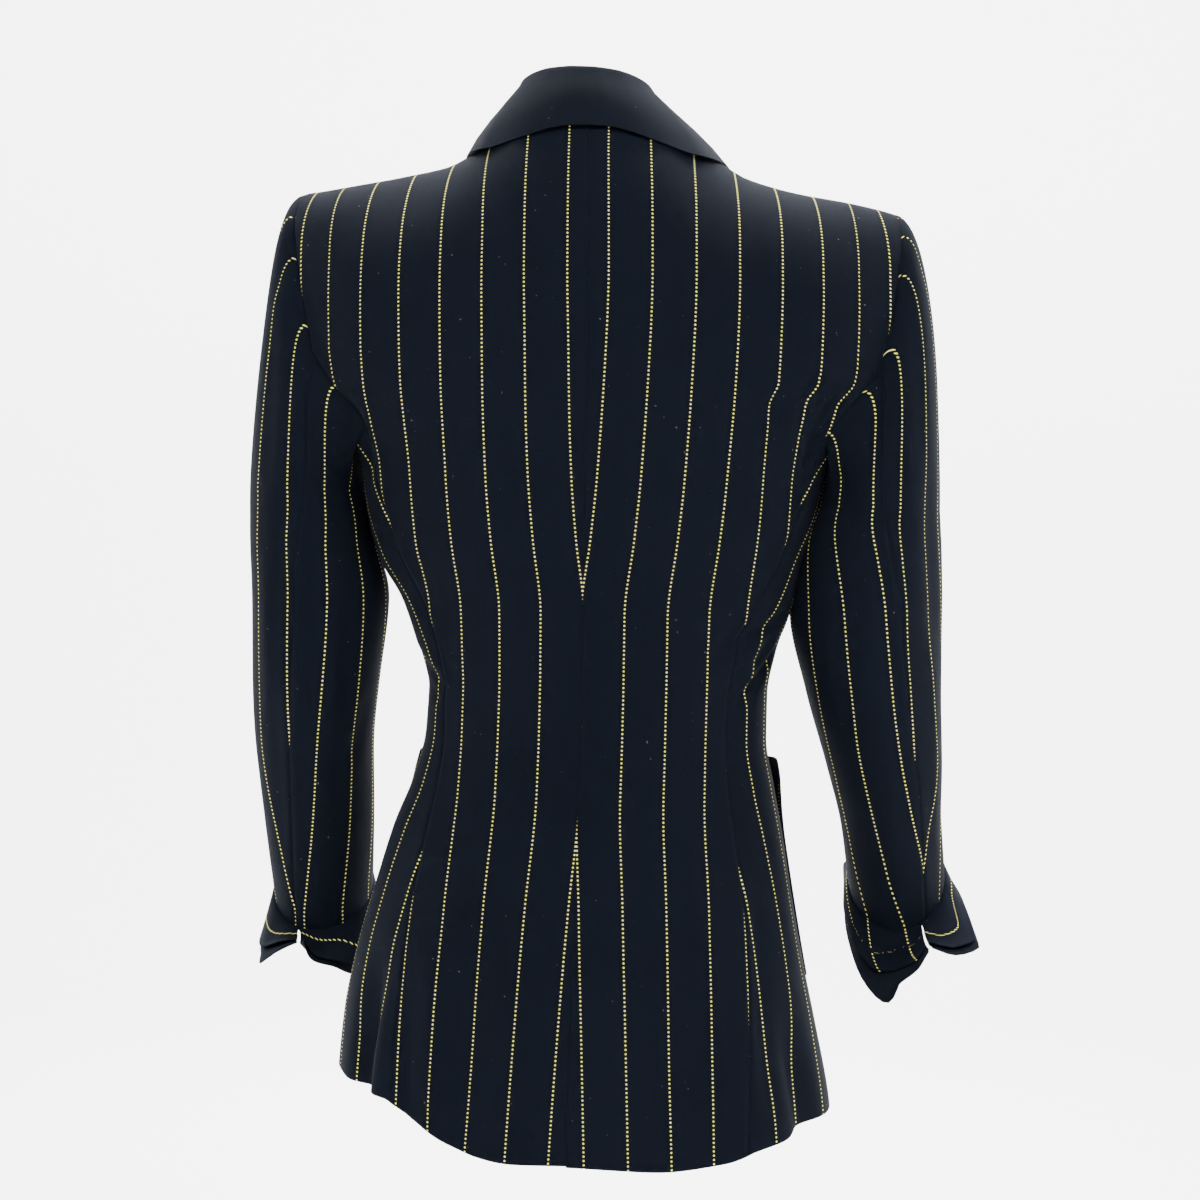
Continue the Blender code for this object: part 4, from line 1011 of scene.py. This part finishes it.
def build_cloth(wools):
    long_rows = rows_up((62, 84, 48))
    side_rows = rows_up((62, 70), last=(0.01, 0.004, 0))
    for side, end in ((-1, "left"), (1, "right")):
        right = side > 0
        u = dense(118)
        u[0] = -BACK_TUCK
        cloth_panel("back", end, back_surface(side), u, long_rows, right, wools, cut_grain(side),
                    ("left", "right", "high"))
        cloth_panel("side", end, side_surface(side), dense(125), side_rows, right, wools, side_grain,
                    ("left", "right", "high"))
        cloth_panel("front", end, front_surface(side), dense(120), long_rows, right, wools, front_grain(side),
                    ("left", "high"))
        cloth_panel("lapel", end, lapel_surface(side), np.linspace(0, 1, 22), np.linspace(0, 1, 60), not right, wools,
                    plain_grain, thick=LAPEL_WALL)
        cloth_panel("pocket", end, pocket_surface(side), dense(90), dense(150), right, wools, pocket_grain)
    sleeve_rows = np.concatenate([SLEEVE_ROWS, np.linspace(0, 1, 52)[2:], np.linspace(1, 2, 76)[1:], [2 + SLEEVE_PAST]])
    for side, end, arm, edge in ((-1, "left", SLEEVE_LEFT, CUFF_LEFT), (1, "right", SLEEVE_RIGHT, CUFF_RIGHT)):
        for kind, under, width in (("sleeve_upper", False, 150), ("sleeve_under", True, 110)):
            cloth_panel(kind, end, sleeve_surface(side, arm, end, under), dense(width), sleeve_rows, side < 0, wools,
                        sleeve_grain(side, arm, end, under), ("left", "right", "low"))
        for kind, facing, start, grain, wall, lift in (
            ("cuff", False, 0, slit_grain if side > 0 else cuff_grain, CUFF_WALL, 0.0),
            ("cuff_facing", True, FACING_FROM, plain_grain, FACING_WALL, -CUFF_WALL - FACING_GAP),
        ):
            v = np.concatenate([np.linspace(start, 1, 20)[:-1], [0.97, 0.99, 1.0]])
            cloth_panel(kind, end, cuff_surface(side, arm, edge, facing), dense(300), v, side < 0, wools, grain, (),
                        wall, lift)


def build_collar(plain):
    points = collar_points(np.linspace(-COLLAR_END, COLLAR_END, 121))
    n = unit(np.cross(np.gradient(points, axis=1), np.gradient(points, axis=0)))
    across = arcs(points, 1)
    outer = points - n * valley(across[:, -1:] - across, False)[..., None]
    made = shell("cloth_collar", outer, points - n * COLLAR_WALL, stack(arcs(points, 0), across), plain)
    seat(made, "collar", flat_size(points))


def lathe(profile, around):
    """Points and faces of a closed turned shape whose profile starts and ends on the axis."""
    turn = 2 * np.pi * np.arange(around) / around
    points = [(0.0, 0.0, profile[0][1])]
    for r, h in profile[1:-1]:
        points += [(r * math.cos(t), r * math.sin(t), h) for t in turn]
    points.append((0.0, 0.0, profile[-1][1]))
    rings = len(profile) - 2
    end = len(points) - 1
    faces = []
    for k in range(around):
        after = (k + 1) % around
        faces.append((0, 1 + k, 1 + after))
        faces.append((end, 1 + (rings - 1) * around + after, 1 + (rings - 1) * around + k))
        for i in range(rings - 1):
            a = 1 + i * around
            faces.append((a + k, a + around + k, a + around + after, a + after))
    return np.array(points), faces


def build_buttons():
    t = Nodes("horn_button", Roughness=0.5, Specular_IOR_Level=0.08)
    streak = t.noise(t.add("ShaderNodeTexCoord").outputs["Object"], 140.0, 4.0, 0.6)
    t.join(t.mix(streak, HORN_DARK, HORN_LIGHT), t.shader.inputs["Base Color"])
    front = front_surface(1)
    for node, z in BUTTONS:
        seam = smooth(BODY, "front_angle", z)
        u = np.array((180 - seam) / (front_angle(1, 1.0, z) - seam))
        v = np.array(1 + (z - HIP) / (BLADE - HIP))
        n = normals(front, u, v, True)
        centre = front(u, v) + n * (LIFT + BUTTON_THICK / 2)
        points, faces = lathe(BUTTON_PROFILE, 40)
        for k in range(4):
            # Thread from hole to hole, a closed four-sided loop standing on the dish
            bar, loop = lathe(THREAD_PROFILE, 8)
            turn = math.radians(45 + 90 * k)
            bar = bar[:, [2, 0, 1]] + np.array([0, THREAD_OUT, THREAD_UP])
            spin = np.array([[math.cos(turn), -math.sin(turn), 0], [math.sin(turn), math.cos(turn), 0], [0, 0, 1]])
            faces = faces + [tuple(len(points) + i for i in face) for face in loop]
            points = np.concatenate([points, bar @ spin.T])
        button = mesh_object("dressed_" + node, (points * MM).tolist(), faces, t.made, BUTTON_SHARP)
        turned = Vector(n.tolist()).to_track_quat("Z", "Y").to_matrix().to_4x4()
        button.data.transform(Matrix.Translation(Vector((stance(centre) * MM).tolist())) @ turned)
        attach(button, "root")
        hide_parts(node)


def add_camera():
    """The photograph's view: level, a little to the right of the back, turned so that the blazer leans clockwise."""
    yaw, roll = math.radians(CAMERA_YAW), math.radians(CAMERA_ROLL)
    ahead = Vector((-math.sin(yaw), math.cos(yaw), 0))
    level = Vector((math.cos(yaw), math.sin(yaw), 0))
    up = Vector((0, 0, 1))
    right = level * math.cos(roll) + up * math.sin(roll)
    top = up * math.cos(roll) - level * math.sin(roll)
    data = bpy.data.cameras.new("view")
    data.sensor_fit = "HORIZONTAL"
    data.sensor_width = 36.0
    data.angle = 2 * math.atan(CAMERA_HALF_FRAME / CAMERA_PIXELS)
    data.clip_end = 50
    camera = add_object("view", data)
    turn = Matrix((right, top, -ahead)).transposed()
    camera.matrix_world = Matrix.Translation(Vector(CAMERA_TARGET) - ahead * CAMERA_AWAY) @ turn.to_4x4()
    bpy.context.scene.camera = camera


def build_stage():
    """A pale floor that curves up into a backdrop on every side of the view, and soft light."""
    profile = [(r, FLOOR_Z) for r in (0.5, 1.5, FLOOR_FLAT)]
    for turn in np.radians(np.linspace(0, 90, 25)[1:]):
        profile.append((FLOOR_FLAT + FLOOR_CURVE * math.sin(turn), FLOOR_Z + FLOOR_CURVE * (1 - math.cos(turn))))
    profile.append((FLOOR_FLAT + FLOOR_CURVE, FLOOR_Z + FLOOR_HIGH))
    turns = [2 * math.pi * k / FLOOR_AROUND for k in range(FLOOR_AROUND)]
    points = [(r * math.cos(turn), r * math.sin(turn), z) for r, z in profile for turn in turns]
    faces = [tuple(range(FLOOR_AROUND))]
    for a in range((len(profile) - 1) * FLOOR_AROUND):
        b = a + 1 if (a + 1) % FLOOR_AROUND else a + 1 - FLOOR_AROUND
        faces.append((a, a + FLOOR_AROUND, b + FLOOR_AROUND, b))
    pale = Nodes("pale_paper", Base_Color=(0.82, 0.82, 0.82, 1), Roughness=0.9, Specular_IOR_Level=0.1)
    floor = mesh_object("floor", points, faces, pale.made)
    world = bpy.context.scene.world or bpy.data.worlds.new("studio")
    bpy.context.scene.world = world
    world.use_nodes = True
    back = world.node_tree.nodes["Background"]
    back.inputs["Color"].default_value = (1, 1, 1, 1)
    back.inputs["Strength"].default_value = WORLD_STRENGTH
    for name, spot, aim, size, power in LIGHTS:
        data = bpy.data.lights.new(name, "AREA")
        data.shape = "RECTANGLE"
        data.size, data.size_y = size
        data.energy = power
        lamp = add_object(name, data)
        lamp.location = spot
        lamp.rotation_euler = (Vector(aim) - Vector(spot)).to_track_quat("-Z", "Y").to_euler()


def main():
    wools = wool("striped_suiting", NAVY, True), wool("plain_suiting", NAVY_PLAIN, False)
    build_cloth(wools)
    build_collar(wools[1])
    build_buttons()
    add_camera()
    build_stage()


main()
